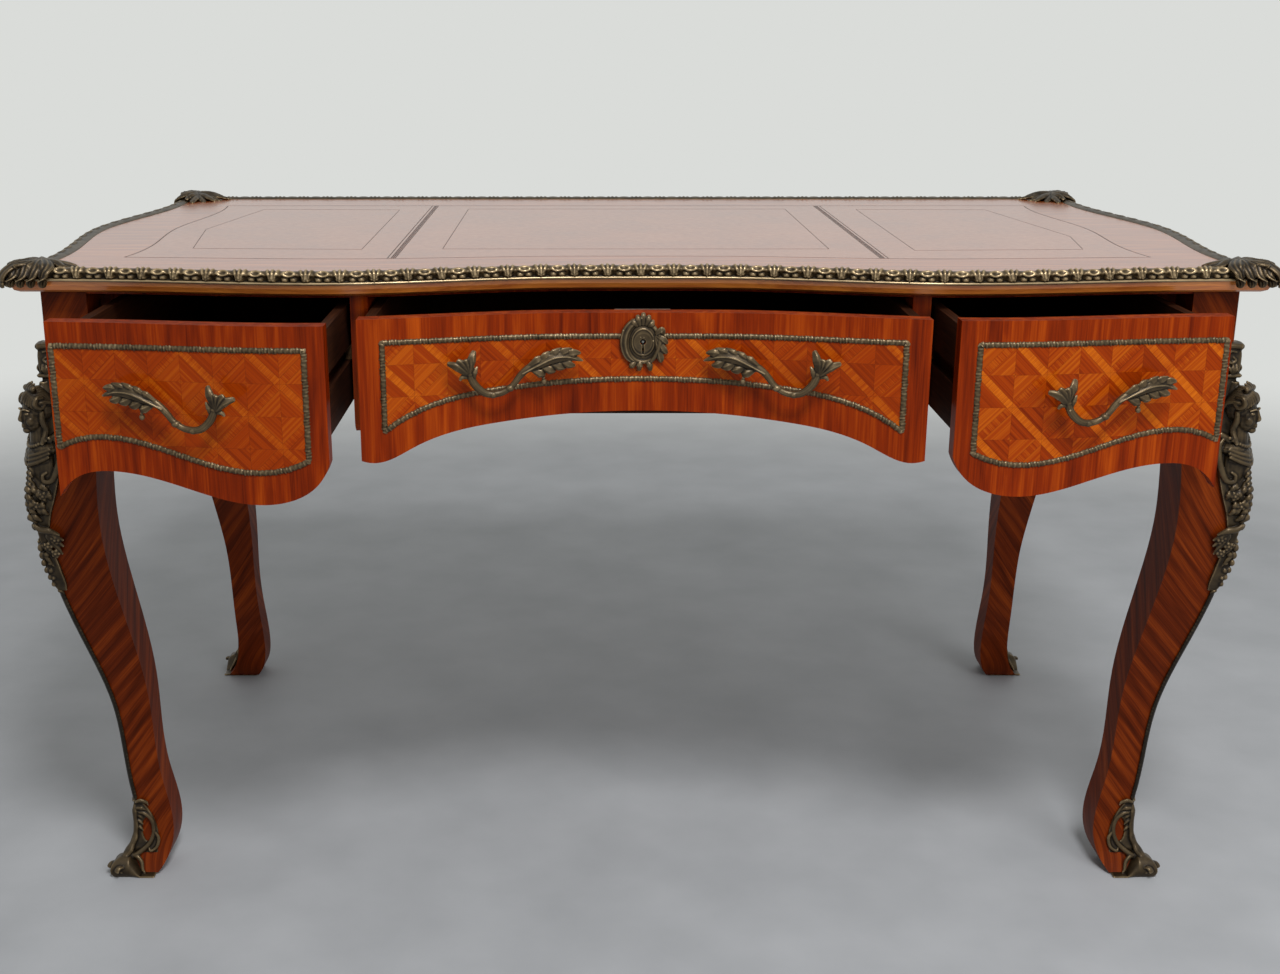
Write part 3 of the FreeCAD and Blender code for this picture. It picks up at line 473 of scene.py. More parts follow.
# %% Lines
def through(points, share):
    """Point at a share of the smooth line through the points."""
    spans = len(points) - 1
    i = min(int(share * spans), spans - 1)
    f = share * spans - i
    a, b = points[max(i - 1, 0)], points[i]
    c, d = points[i + 1], points[min(i + 2, spans)]
    return 0.5 * (2 * b + (c - a) * f + (2 * a - 5 * b + 4 * c - d) * f ** 2 + (3 * b - a - 3 * c + d) * f ** 3)


def even(points, step):
    """The line's points at equal steps, with its ends kept."""
    gone = [0.0]
    for a, b in zip(points, points[1:]):
        gone.append(gone[-1] + (b - a).length)
    count = max(2, round(gone[-1] / step))
    picked, i = [], 0
    for k in range(count + 1):
        here = gone[-1] * k / count
        while i < len(points) - 2 and gone[i + 1] < here:
            i += 1
        picked.append(points[i].lerp(points[i + 1], (here - gone[i]) / (gone[i + 1] - gone[i])))
    return picked


def between(values, share):
    """Value at a share of a list of values."""
    spot = share * (len(values) - 1)
    i = min(int(spot), len(values) - 2)
    return values[i] + (values[i + 1] - values[i]) * (spot - i)


def length(line):
    return sum((b - a).length for a, b in zip(line, line[1:]))


print("lines ready")

# %% Wax
NEAR = 0.02


def sheet(wax, along, across, place):
    """Grid laid out by a function of two shares."""
    for vert in bmesh.ops.create_grid(wax, x_segments=along, y_segments=across, size=0.5)["verts"]:
        vert.co = place(round(vert.co.x + 0.5, 6), round(vert.co.y + 0.5, 6))


def rope(wax, points, face, width, thick, along=18, across=10, lobes=0, cut=0.0, veins=0, vein=0.0):
    """Rope or leaf along a line, blunt at its ends: half widths across the face, half thicknesses off it, in mm."""
    def place(share, turn):
        ahead = through(points, min(share + NEAR, 1)) - through(points, max(share - NEAR, 0))
        side = face.cross(ahead).normalized()
        rise = ahead.normalized().cross(side)
        blunt = MM * min(1.0, sqrt(max(0.0, 0.8 * along * min(share, 1 - share))))
        w = blunt * between(width, share) * (1 + cut * cos(2 * pi * lobes * share))
        t = blunt * between(thick, share) * (1 + vein * cos(2 * pi * veins * turn))
        return through(points, share) + side * (w * cos(2 * pi * turn)) + rise * (t * sin(2 * pi * turn))
    sheet(wax, along, across, place)


def brush(wax, place, face, size=1.0):
    """Tool that draws ropes through the places of one piece."""
    def stroke(points, width, thick, face=face, **more):
        rope(wax, [place(*p) for p in points], face, [w * size for w in width], [t * size for t in thick], **more)
    return stroke


def loop(wax, line, facing, step, across, section):
    """Closed strip round a line; the section gives the ways sideways and outward at two shares."""
    line = even(line, step)[:-1]
    count = len(line)

    def place(share, turn):
        k = round(share * count)
        ahead = (line[(k + 1) % count] - line[k - 1]).normalized()
        wide, high = section(k / count, turn)
        return line[k % count] + facing.cross(ahead) * wide + facing * high
    sheet(wax, count, across, place)


def ball(wax, centre, radii, turn=Matrix.Identity(3)):
    """Egg at a place, its three radii in mm along the columns of a turn."""
    shape = Matrix.Translation(centre) @ turn.to_4x4() @ Matrix.Diagonal((*(r * MM for r in radii), 1))
    bmesh.ops.create_uvsphere(wax, u_segments=16, v_segments=10, radius=1, matrix=shape)


print("wax ready")

# %% Casting
WELD = 1e-6
CRUMB = 200
MIDDLE = Vector((0, middle_y, 0))


def weld(wax):
    """Close the seams of the grids."""
    bmesh.ops.remove_doubles(wax, verts=wax.verts, dist=WELD)


def crumbs(cast):
    """Vertices of islands too small to be ornament."""
    left, found = set(cast.verts), []
    while left:
        rim = {left.pop()}
        island = list(rim)
        while rim:
            rim = {edge.other_vert(vert) for vert in rim for edge in vert.link_edges} & left
            left -= rim
            island.extend(rim)
        if len(island) < CRUMB:
            found.extend(island)
    return found


def melt(wax, voxel, rounds):
    """All the wax as one skin, without the crumbs that thin tips leave."""
    weld(wax)
    bmesh.ops.recalc_face_normals(wax, faces=wax.faces)
    mesh = bpy.data.meshes.new("wax")
    wax.to_mesh(mesh)
    wax.free()
    obj = bpy.data.objects.new("wax", mesh)
    scene.collection.objects.link(obj)
    remesh = obj.modifiers.new("skin", "REMESH")
    remesh.mode, remesh.voxel_size = "VOXEL", voxel
    skinned = bpy.data.meshes.new_from_object(obj.evaluated_get(bpy.context.evaluated_depsgraph_get()))
    cast = bmesh.new()
    cast.from_mesh(skinned)
    for used in (mesh, skinned):
        bpy.data.meshes.remove(used)
    bmesh.ops.delete(cast, geom=crumbs(cast), context="VERTS")
    for _ in range(rounds):
        bmesh.ops.smooth_vert(cast, verts=cast.verts, factor=0.5,
                              use_axis_x=True, use_axis_y=True, use_axis_z=True)
    return cast


def finish(name, cast, body, slot, material, *nodes):
    """Piece on its body, in place of the plain solids."""
    bmesh.ops.recalc_face_normals(cast, faces=cast.faces)
    mesh = bpy.data.meshes.new(name)
    cast.to_mesh(mesh)
    cast.free()
    mesh.shade_smooth()
    mesh.materials.append(material)
    obj = bpy.data.objects.new(name, mesh)
    scene.collection.objects.link(obj)
    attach(obj, body)
    if nodes:
        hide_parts(*nodes)
    print(name, "faces", len(mesh.polygons))


def four_corners(name, node, cast):
    """The casting on the front right corner, and its mirror images on the other three."""
    pattern = bpy.data.meshes.new("pattern")
    cast.to_mesh(pattern)
    cast.free()
    for end, fy in (("front", 1), ("rear", -1)):
        for side, fx in (("right", 1), ("left", -1)):
            copy = bmesh.new()
            copy.from_mesh(pattern)
            mirror = Matrix.Translation(MIDDLE) @ Matrix.Diagonal((fx, fy, 1, 1)) @ Matrix.Translation(-MIDDLE)
            bmesh.ops.transform(copy, matrix=mirror, verts=copy.verts)
            finish(f"{name}_{end}_{side}", copy, "carcass", "bronze", bronze, f"{node}_{end}_{side}")
    bpy.data.meshes.remove(pattern)


print("casting ready")

# %% [markdown]
# ## Bronze bands
# A rounded bronze strip frames each field of parquetry. It was cast in lengths with a leaf wrapped
# round and round it, in groups. The outline of the field gives the line, so the band stays on its
# seat, and a grid rolled round that line carries the wrapped leaf as a wave in its radius.

# %% Find the lines of the bands
FRONT, BACK, LEFT, RIGHT = Vector((0, -1, 0)), Vector((0, 1, 0)), Vector((-1, 0, 0)), Vector((1, 0, 0))
OUTSIDE = 0.2
LONG_LINE = 0.6


def outlines(node, facing):
    """Closed lines round a node's faces that look one way."""
    copy = bmesh.new()
    copy.from_mesh(NODES[node].data)
    bmesh.ops.remove_doubles(copy, verts=copy.verts, dist=1e-5)
    front = {face for face in copy.faces if face.normal.dot(facing) > 0.6}
    # a dict keeps its order, so each line starts at the same place in every run
    rim = dict.fromkeys(edge for edge in copy.edges if sum(face in front for face in edge.link_faces) == 1)
    lines = []
    while rim:
        edge, _ = rim.popitem()
        here = edge.verts[1]
        line = [edge.verts[0].co.copy(), here.co.copy()]
        while step := next((e for e in here.link_edges if e in rim), None):
            del rim[step]
            here = step.other_vert(here)
            line.append(here.co.copy())
        lines.append(line)
    copy.free()
    return lines


def fields(node, facing):
    """Outlines of the fields on the outside that look one way."""
    return [line for line in outlines(node, facing) if line[0].dot(facing) > OUTSIDE and length(line) > LONG_LINE]


print("fields", [len(fields("frieze_parquetry", side)) for side in (LEFT, RIGHT, BACK)])

# %% Roll the bands
BAND_RADIUS, BAND_SINK, BAND_RELIEF = 3.5 * MM, 1.4 * MM, 0.9 * MM
BAND_STEP, BAND_SIDES = 1.2 * MM, 10
FLECKS = (36 * MM, 8.3 * MM, 5.3 * MM)


def band(wax, line, facing):
    counts = [round(length(line) / fleck) for fleck in FLECKS]

    def section(share, turn):
        group, wrap, crimp = (2 * pi * count * share for count in counts)
        around = 2 * pi * turn
        leaf = (0.7 + 0.4 * cos(group)) * cos(wrap + 2 * around) * cos(crimp - 3 * around)
        radius = BAND_RADIUS + BAND_RELIEF * (leaf + 0.25 * cos(crimp + around))
        return radius * cos(around), radius * sin(around) - BAND_SINK
    loop(wax, line, facing, BAND_STEP, BAND_SIDES, section)


def bands(name, body, node, field, sides):
    wax = bmesh.new()
    for facing in sides:
        for line in fields(field, facing):
            band(wax, line, facing)
    weld(wax)
    finish(name, wax, body, "bronze", dark_bronze, node)


for drawer in ("left_drawer", "centre_drawer", "right_drawer"):
    bands(drawer + "_cast_band", drawer, drawer + "_band", drawer + "_parquetry", (FRONT,))
bands("frieze_cast_bands", "carcass", "frieze_bands", "frieze_parquetry", (LEFT, RIGHT, BACK))

# %% [markdown]
# ## Edge moulding
# A strip of cast bronze runs round the top: ribbed palmettes take turns with small ovals on its
# swelling upper half, and round bosses hang in the shade below, over a plain fillet. One grid follows
# the plain solid's outer edge, and the ornament is a height that depends on the way along one repeat
# and the way down the strip. The front length is prouder and painted brighter, as a painted highlight,
# and the others lie low, so little of them shows over the border.

# %% Relief of the moulding
REPEAT = 37 * MM
PROFILE = [Vector(p) for p in (
    (-13.8, 8.6), (-13.6, 10), (-11.6, 12.4), (-7, 14.5), (-2.6, 13.6), (0.2, 10.8), (-1.6, 7.8), (-2.8, 3.6),
    (1.2, 2.9), (1.2, 0.5), (-2, 0), (-13.8, 0), (-13.8, 8.6))]
CARVED_FROM, CARVED_TO, CARVED_DEPTH = 0.25, 0.6, 1.2
RIM = 8.6


def dome(x, y):
    """Height of a round boss at a place in its own radius."""
    return sqrt(max(0.0, 1 - x * x - y * y))


def carving(along, down):
    """Height in mm of the ornament at a share along one repeat and down the strip."""
    reach = min(along, 1 - along)
    spread = 0.1 + 0.2 * max(0.0, 1 - down / 0.8)
    rib = 0.5 + 0.5 * cos(2 * pi * reach / (0.6 * spread))
    height = 2.2 * rib * dome(reach / spread, 0) * (down < 0.85)
    height += 3.4 * dome(reach / 0.15, (down - 0.78) / 0.28)
    egg = sqrt(((along - 0.5) / 0.16) ** 2 + ((down - 0.38) / 0.17) ** 2)
    height += 1.7 * exp(-((egg - 1.0) / 0.34) ** 2)
    for curl in (0.37, 0.63):
        height += 2.8 * dome((along - curl) / 0.11, (down - 0.84) / 0.2)
    return height


print("boss", round(carving(0.0, 0.9), 2), "oval", round(carving(0.5, 0.46), 2))

# %% Run the moulding
EDGE_STEP = 5 * MM
TO_CORNER = 72 * MM
REPEAT_STEPS, COLUMNS = 26, 40


def outer_edge(node, facing):
    """Lower outer edge of a node's wall that looks one way, at even steps."""
    mesh = NODES[node].data
    spots = {}
    for face in mesh.polygons:
        if face.normal.dot(facing) > 0.5 and abs(face.normal.z) < 0.2:
            for i in face.vertices:
                co = mesh.vertices[i].co
                key = (round(co.x, 5), round(co.y, 5))
                spots[key] = min(spots.get(key, co), co, key=lambda c: c.z)
    return even(sorted(spots.values(), key=lambda c: c.dot(UP.cross(facing))), EDGE_STEP)


def moulding(name, node, facing, metal, crown):
    edge = outer_edge(node, facing)
    edge = [edge[0] + (edge[0] - edge[1]).normalized() * TO_CORNER, *edge,
            edge[-1] + (edge[-1] - edge[-2]).normalized() * TO_CORNER]
    line = even(edge, REPEAT / REPEAT_STEPS)
    count = len(line) - 1
    repeats = round(count / REPEAT_STEPS)
    low = min(p.z for p in line)

    def place(share, turn):
        k = round(share * count)
        out = (line[min(k + 1, count)] - line[max(k - 1, 0)]).cross(UP).normalized()
        # half of the columns go to the carved part
        down = 2 * turn - 0.5
        turn = CARVED_FROM + (CARVED_TO - CARVED_FROM) * min(max(down, 0.0), 1.0)
        turn += 2 * CARVED_FROM * min(down, 0.0) + 2 * (1 - CARVED_TO) * max(down - 1, 0.0)
        spot = through(PROFILE, turn)
        if 0 < down < 1:
            slope = through(PROFILE, turn + NEAR) - through(PROFILE, turn - NEAR)
            normal = Vector((-slope.y, slope.x)).normalized()
            spot = spot + normal * CARVED_DEPTH * carving(k * repeats / count % 1, down)
        rise = min(spot.y, RIM) + crown * max(0.0, spot.y - RIM)
        return Vector((line[k].x, line[k].y, low)) + (out * spot.x + UP * rise) * MM
    wax = bmesh.new()
    sheet(wax, count, COLUMNS, place)
    weld(wax)
    bmesh.ops.holes_fill(wax, edges=[edge for edge in wax.edges if edge.is_boundary], sides=0)
    finish(name, wax, "carcass", "bronze", metal, node)


# The front moulding takes the rubbed bronze with its painted highlight, the other three the plain one.
for side, facing, metal, crown in (("front", FRONT, rubbed_highlit_bronze, 1.0), ("back", BACK, bronze, 0.5),
                                   ("left", LEFT, bronze, 0.5), ("right", RIGHT, bronze, 0.5)):
    moulding("cast_moulding_" + side, "edge_moulding_" + side, facing, metal, crown)

# %% [markdown]
# ## Drawer pulls
# Each pull is one casting: a stem bent like an S, a spray of leaves at one end and an open flower at
# the other. Ropes with swelling widths make stem, leaves and petals, and the melt joins them. The ray
# that finds the front behind the pull also gives the way it faces.


# %% Place on a front
def seat(node, x, z):
    """Place on a front and the way out of it."""
    _, spot, out, _ = NODES[node].ray_cast(Vector((x, -2, z)), BACK)
    return spot, out.normalized()


print("seat", [round(c, 3) for c in seat("left_drawer_parquetry", -0.484, 0.658)[0]])

# %% Pulls
STAND = 20
STEM = ((-40, 15), (-24, 12), (-12, 6), (-3, -2), (6, -13), (18, -20), (33, -20), (45, -10), (51, 4))
LEAVES = (((-10, 6), (-28, 18)), ((-18, 9), (-37, 23)), ((-26, 12), (-48, 26)), ((-35, 15), (-59, 25)),
          ((-45, 17), (-68, 20)), ((-14, 5), (-30, -1)), ((-23, 9), (-41, 2)), ((-32, 13), (-52, 5)),
          ((-42, 15), (-62, 7)))
PETALS = ((45, 27, 2), (49, 21, 6), (56, 19, 8), (64, 18, 6), (74, 14, 2))


def pull(wax, node, x, z, flip):
    spot, out = seat(node, x, z)
    level = UP.cross(out) * flip

    def at(px, pz, off=0.0):
        return spot + (level * px + UP * pz + out * (STAND + off)) * MM

    twig = brush(wax, at, out)
    twig(STEM, (2.8, 3.8, 4, 3.8, 3.4, 3.6, 4, 4.4, 4.4), (2.6, 3.4, 3.8, 3.6, 3.4, 3.6, 4, 4, 4), along=48)
    for knot in ((8, -15), (26, -21.5), (50, 2)):
        ball(wax, at(*knot), (5, 4.6, 3.8))
    twig(((-6, 1), (-21, 9, 2), (-38, 16, 3), (-54, 17, 2), (-71, 11, -2)),
         (2, 4.4, 6, 5, 0.6), (2, 3.4, 3.6, 3, 0.8), along=40)
    twig(((-4, 0, 3), (-21, 9, 5), (-38, 16.4, 6), (-54, 17, 4.6), (-66, 12.6, 0)),
         (1, 1.2, 1.2, 1, 0.6), (1.4, 1.6, 1.6, 1.4, 0.8), along=40)
    for root, tip in LEAVES:
        bend = ((root[0] + tip[0]) / 2 - 2, (root[1] + tip[1]) / 2 + (2.5 if tip[1] > root[1] else -2), 3)
        twig((root, bend, tip), (1.8, 4.8, 0.9), (1.6, 2.6, 1), along=16, veins=3, vein=0.2)
    twig(((-22, 5), (-26, -1, 1), (-28, -6, 1)), (1.4, 1.8, 1.8), (1.4, 1.8, 1.8))
    ball(wax, at(-28, -9), (3, 3, 3.4))
    for tip in PETALS:
        bend = (52 + (tip[0] - 52) * 0.5, 6 + (tip[1] - 6) * 0.55, 6)
        twig(((51, 0), bend, tip), (3, 5, 2.2), (2.6, 3, 1.6), along=16, veins=3, vein=0.2)
    twig(((46, -4), (45, 4, 3), (42, 10, 2)), (2, 3, 1), (2, 2.4, 1))
    twig(((52, -2), (58, -1, 2), (61, -5, 1)), (2, 2.6, 1.4), (2, 2.4, 1.4))
    for foot in ((-42, 15), (52, 5)):
        twig([(*foot, off - STAND) for off in (-0.6, 4, 12, 20)], (5, 3.4, 3, 3), (5, 3.4, 3, 3), UP, along=10)


PULLS = {"left_drawer": ((-0.484, 0.658, 1),), "right_drawer": ((0.484, 0.658, -1),),
         "centre_drawer": ((-0.136, 0.682, -1), (0.136, 0.682, 1))}
for body, pulls in PULLS.items():
    wax = bmesh.new()
    for x, z, flip in pulls:
        pull(wax, body + "_parquetry", x, z, flip)
    node = body + ("_handles" if len(pulls) > 1 else "_handle")
    finish(body + "_cast_pull", melt(wax, 0.6 * MM, 2), body, "bronze", handled_bronze, node)

# %% [markdown]
# ## Escutcheon
# The keyhole sits in an oval plate inside a raised ring, with a crest above, a broad fluted rim at
# one side, a leaf at the other and feet below. A grid laid from the keyhole's edge to the ring makes
# the plate with its opening, so no hole has to be cut.

# %% Escutcheon
KEY_X, KEY_Z = 0.012, 0.711
OVAL = 1.22
spot, _ = seat("centre_drawer_parquetry", KEY_X, KEY_Z)
wax = bmesh.new()


def on_front(px, pz, off=0.0):
    return Vector((px * MM, spot.y, KEY_Z + pz * MM)) + FRONT * (off * MM)


def keyhole(angle):
    """Distance of the keyhole's edge from its middle, in mm."""
    return 9.5 if abs(angle + pi / 2) < 0.17 else 3.1


def plate(share, turn):
    angle = 2 * pi * share - pi
    inner = keyhole(angle)
    ring = between((inner, 0.5 * inner + 8, 15, 17.5, 17.5, 10, inner + 0.3, inner), turn)
    rise = between((1.5, 3.2, 2.2, 1.6, -0.8, -0.8, -0.8, 1.5), turn)
    return on_front(ring * cos(angle), (OVAL if ring > 10 else 1) * ring * sin(angle), rise)


curl = brush(wax, on_front, FRONT)
sheet(wax, 72, 28, plate)
for radius, thick in ((17.5, 2.2), (11.5, 1.2)):
    oval = [(radius * cos(a * pi / 12), OVAL * radius * sin(a * pi / 12), 2.4) for a in range(27)]
    curl(oval, (thick, thick), (thick, thick), along=72)
curl(((5, 23, 2), (-8, 22, 3), (-17, 13, 3.4), (-20, -1, 3.4), (-16, -15, 3), (-5, -24, 2)),
     (2, 4.2, 5, 5, 4.2, 2), (1.6, 2.6, 3, 3, 2.6, 1.6), along=44, across=24, veins=5, vein=0.24)
for tip in ((-11, 25), (-6, 29), (0, 31.5), (6, 29), (10, 24)):
    curl(((tip[0] * 0.5, 18, 2), (tip[0] * 0.9, tip[1] - 4, 4.5), (*tip, 2)), (2.4, 3.2, 1.8), (1.8, 2.4, 1.4))
for tip in ((22, 8), (26, -2), (26, -12), (20, -21)):
    curl(((13, 8, 2.4), ((13 + tip[0]) / 2 + 2, tip[1] + 5, 4.4), (*tip, 2)),
         (1.6, 4.2, 1.4), (1.6, 2.6, 1.2), veins=3, vein=0.2)
curl(((16, 13, 3), (18, 0, 4.4), (14, -13, 4.4), (6, -24, 3)), (1.6, 2.4, 2.4, 1.6), (1.6, 2.2, 2.2, 1.6))
for tip in ((-13, -27), (-4, -31), (8, -31)):
    curl(((tip[0] * 0.5, -20, 2), (tip[0] * 0.9, -25, 4), (*tip, 1.6)), (2, 3.6, 1.8), (1.6, 2.6, 1.4))
finish("centre_drawer_cast_escutcheon", melt(wax, 0.5 * MM, 1), "centre_drawer", "bronze", handled_bronze,
       "centre_drawer_escutcheon")

# %% [markdown]
# ## Corner clasps
# A cast acanthus leaf is folded over each corner of the top. Fluted lobes fan out from a hump on the
# corner's diagonal: some hang over the two edges, others lie inward on the border. They are modelled
# on the front right corner, from the corner's own two edges, and mirrored to the rest.

# %% Clasps
front_run = outer_edge("edge_moulding_front", FRONT)
side_run = outer_edge("edge_moulding_right", RIGHT)
along_front = (front_run[-2] - front_run[-1]).normalized()
along_side = (side_run[1] - side_run[0]).normalized()
gap = side_run[0] - front_run[-1]
reach = gap.xy.cross(along_side.xy) / along_side.xy.cross(along_front.xy)
tip = front_run[-1] - along_front * reach
HUB = (24, 24, 17)
OVER = ((2, 4), (13, 8), (25, 11), (38, 14))
BLADES = ((60, 12, 14), (74, 22, 10), (62, 36, 9))
wax = bmesh.new()


def on_corner(a, b, z):
    """Place by mm along the front edge, along the side edge and up from the corner."""
    return tip + (along_front * a + along_side * b + UP * z) * MM


def on_other(a, b, z):
    """The same with the two edges changed over."""
    return on_corner(b, a, z)


fold = brush(wax, on_corner, UP)
for leaf in (fold, brush(wax, on_other, UP)):
    for end, inner in OVER:
        leaf((HUB, ((HUB[0] + end) / 2, inner, 18.5), (end, 0, 15.5), (end - 2, -6.5, 6), (end - 3, -6, -7)),
             (3, 8, 9.6, 8.6, 2.6), (3.4, 3.2, 3, 2.8, 1.6), along=30, across=30, veins=10, vein=0.3)
    for a, b, z in BLADES:
        leaf((HUB, ((HUB[0] + a) / 2, (HUB[1] + b) / 2, z + 4), (a - 8, b, z + 1), (a, b + 1, z - 1)),
             (3, 6, 4.6, 1), (3.4, 3, 2.2, 1), along=30, across=16, lobes=5, cut=0.1, veins=4, vein=0.22)
fold((HUB, (10, 10, 19), (-1, -1, 15), (-9, -9, 6), (-9, -9, -7)),
     (4, 8, 9, 8, 4), (3.6, 3.6, 3.4, 3, 1.8), along=30, across=24, veins=8, vein=0.24)
fold((HUB, (33, 33, 17), (46, 46, 13), (54, 54, 9)),
     (4, 7, 5, 1), (3.4, 3, 2.2, 1), along=30, across=16, lobes=5, cut=0.1)
ball(wax, on_corner(18, 18, 13), (16, 16, 6))
print("corner", [round(c, 4) for c in tip])
four_corners("cast_clasp", "corner_clasp", melt(wax, 0.8 * MM, 1))

# %% [markdown]
# ## Leg mounts
# Each knee carries a casting: scrolls at the top, a small bust looking out over the corner, a
# cartouche and flowers below, ending in a leaf and buds. One mount is modelled on the front right
# corner over the plain solid's bulk and mirrored to the other three. Places are given as the way in
# from the corner's edge, the height, and the height off the face, so ornament follows the bent leg.

# %% Places on a leg
leg = NODES["leg_front_right"].data.vertices
leg_top = max(v.co.z for v in leg)
post_x = max(v.co.x for v in leg if v.co.z > leg_top - 0.1 * MM)
post_y = min(v.co.y for v in leg if v.co.z > leg_top - 0.1 * MM)
edge = sorted({(round(v.co.z, 5), round(v.co.x - post_x, 5)) for v in leg
               if abs((post_y - v.co.y) - (v.co.x - post_x)) < 0.02 * MM and v.co.x - post_x > -45 * MM})
OUT = Vector((1, -1, 0)).normalized()
ROUND = Vector((1, 1, 0)).normalized()
CORE = 0.5
TRIM = (0.7, 0.55, 0.6, 0.7, 0.75, 0.9, 1.0)
TRIM_FROM, TRIM_RUN = 395, 150
BULK = ((0, 3.5), (18, 3.5), (45, 3), (70, 3.5), (95, 2.5), (96, 0), (394, 0), (395, 5), (430, 10), (456, 7),
        (505, 13), (545, 13), (600, 11), (655, 7), (691, 6), (760, 6))


def lean(z):
    """How far the leg's outer edge stands out from the post at a height."""
    for (z0, o0), (z1, o1) in zip(edge, edge[1:]):
        if z0 <= z <= z1:
            return o0 + (o1 - o0) * (z - z0) / max(z1 - z0, 1e-6)
    return edge[-1][1] if z > edge[-1][0] else edge[0][1]


def skin_lean(z):
    """The same for the thinned casting's own edge, at a height in mm."""
    for (z0, b0), (z1, b1) in zip(BULK, BULK[1:]):
        if z0 <= z <= z1:
            return lean(z * MM) + CORE * MM * (b0 + (b1 - b0) * (z - z0) / (z1 - z0))


def corner(z, round_mm=0.0, out_mm=0.0):
    """Place on the casting's edge at a height in mm."""
    o = skin_lean(z)
    return Vector((post_x + o, post_y - o, z * MM)) + (ROUND * round_mm + OUT * out_mm) * MM


def on_face(swap, inward, z, off=0.0):
    """Place on one of the casting's two faces: mm in from the edge, height, mm off the face."""
    o = skin_lean(z)
    a, b = o - inward * MM, o + off * MM
    return Vector((post_x + b, post_y - a, z * MM)) if swap else Vector((post_x + a, post_y - b, z * MM))


def face_brush(wax, swap):
    return brush(wax, lambda *place: on_face(swap, *place), RIGHT if swap else FRONT)


def thinned(node):
    """Copy of a plain casting, pressed closer to the leg's two faces."""
    wax = bmesh.new()
    wax.from_mesh(NODES[node].data)
    for vert in wax.verts:
        o = lean(vert.co.z)
        vert.co.x -= (1 - CORE) * max(0.0, vert.co.x - post_x - o)
        vert.co.y += (1 - CORE) * max(0.0, post_y - vert.co.y - o)
        trim = between(TRIM, min(1.0, max(0.0, (vert.co.z / MM - TRIM_FROM) / TRIM_RUN)))
        vert.co.x += (1 - trim) * max(0.0, post_x + o - vert.co.x)
        vert.co.y -= (1 - trim) * max(0.0, vert.co.y - post_y + o)
    return wax


print("edge points", len(edge), "post", round(post_x, 4), round(post_y, 4))


# %% Bust
def bust(wax, z, out_mm, size):
    """Small head and shoulders on plain proportions, looking out over the corner."""
    base = corner(z, 0, out_mm)
    turn = Matrix((OUT, ROUND, UP)).transposed()

    def at(ahead, side, rise):
        return base + (OUT * ahead + ROUND * side + UP * rise) * (size * MM)

    def egg(ahead, side, rise, *radii):
        ball(wax, at(ahead, side, rise), [r * size for r in radii], turn)

    strand = brush(wax, at, OUT, size)
    egg(-3, 0, 4, 13.5, 12, 14)
    egg(3.5, 0, -4, 9.5, 9, 12.5)
    egg(9.2, 0, -13.8, 3.2, 3.6, 3)
    strand(((11.8, 0, 3.4), (13.2, 0, -0.8), (14.2, 0, -4.4), (12.4, 0, -6)),
           (1.2, 1.4, 2.1, 1.4), (1.2, 1.4, 1.7, 1))
    for rise, half in ((-9.2, 3.0), (-10.9, 2.5)):
        strand(((10.4, -half, rise), (12.2, 0, rise), (10.4, half, rise)), (0.7, 1.1, 0.7), (0.7, 1.0, 0.7), UP)
    for s in (-1, 1):
        egg(9.6, 4.2 * s, 0.2, 2.4, 2.5, 1.5)
        strand(((12, 1.6 * s, 3), (11.6, 4.6 * s, 3.8), (8.8, 7.6 * s, 2.4)), (0.8, 1, 0.6), (0.9, 1.1, 0.7))
        egg(7.6, 5.2 * s, -6, 4, 3.4, 4.2)
        for k in range(8):
            way = k * pi / 15
            lock = ((11.4 * cos(way) - 0.5, 10.6 * s * sin(way), 9 - 1.2 * k),
                    (7 - 0.4 * k, s * (1 + 1.6 * k), 16 - 1.1 * k),
                    (-3 - 0.5 * k, s * (1 + 1.7 * k), 19.5 - 1.6 * k), (-12, s * (1 + 1.5 * k), 15 - 2 * k))
            strand(lock, (1.1, 1.9, 1.8, 1.2), (1.1, 1.7, 1.7, 1.2), UP)
        ringlet = ((-2, 11 * s, 12), (4, 12 * s, 13), (6, 12.4 * s, 8), (2, 12.8 * s, 5), (-1, 13 * s, 8),
                   (2, 13.4 * s, 9.6))
        strand(ringlet, (1.6, 2, 2.2, 2, 1.8, 1.2), (1.6, 2, 2.2, 2, 1.8, 1.2), ROUND, along=28)
        strand(((0, 10.5 * s, 3), (1, 11.5 * s, -6), (-2, 10 * s, -14), (1, 11 * s, -21), (4, 12 * s, -26)),
               (2, 2.6, 2.6, 2.4, 1.2), (2, 2.4, 2.4, 2.2, 1.2), along=24)
    for side, rise in ((-7, 21), (-3.6, 24), (0, 25.5), (3.6, 24), (7, 21)):
        strand(((2, side * 0.6, 15), (4, side * 0.9, 20), (0, side, rise)), (1.6, 2.4, 0.8), (1.6, 2, 0.8), along=12)
    strand(((0, 0, -6), (-1, 0, -16), (-1, 0, -24), (-3, 0, -32)),
           (7.6, 7.2, 8, 12), (7.6, 7.2, 8, 11), along=16, across=16)
    egg(-4, 0, -30, 12, 17, 7)
    egg(0, 0, -37, 11, 14.5, 9)
    for s in (-1, 1):
        for k in range(9):
            egg(8.4 - 0.16 * k * k, 1.8 * s * k, -28 + 0.12 * k * k, 1.5, 1.5, 1.5)
        for k in range(3):
            strand(((-2 + k, 16 * s, -29 - 3 * k), (6 + k, 9 * s, -33 - 3.4 * k), (10 + k, 0, -36 - 3.6 * k)),
                   (1.4, 2, 1.6), (1.4, 2, 1.6))


print("bust ready")


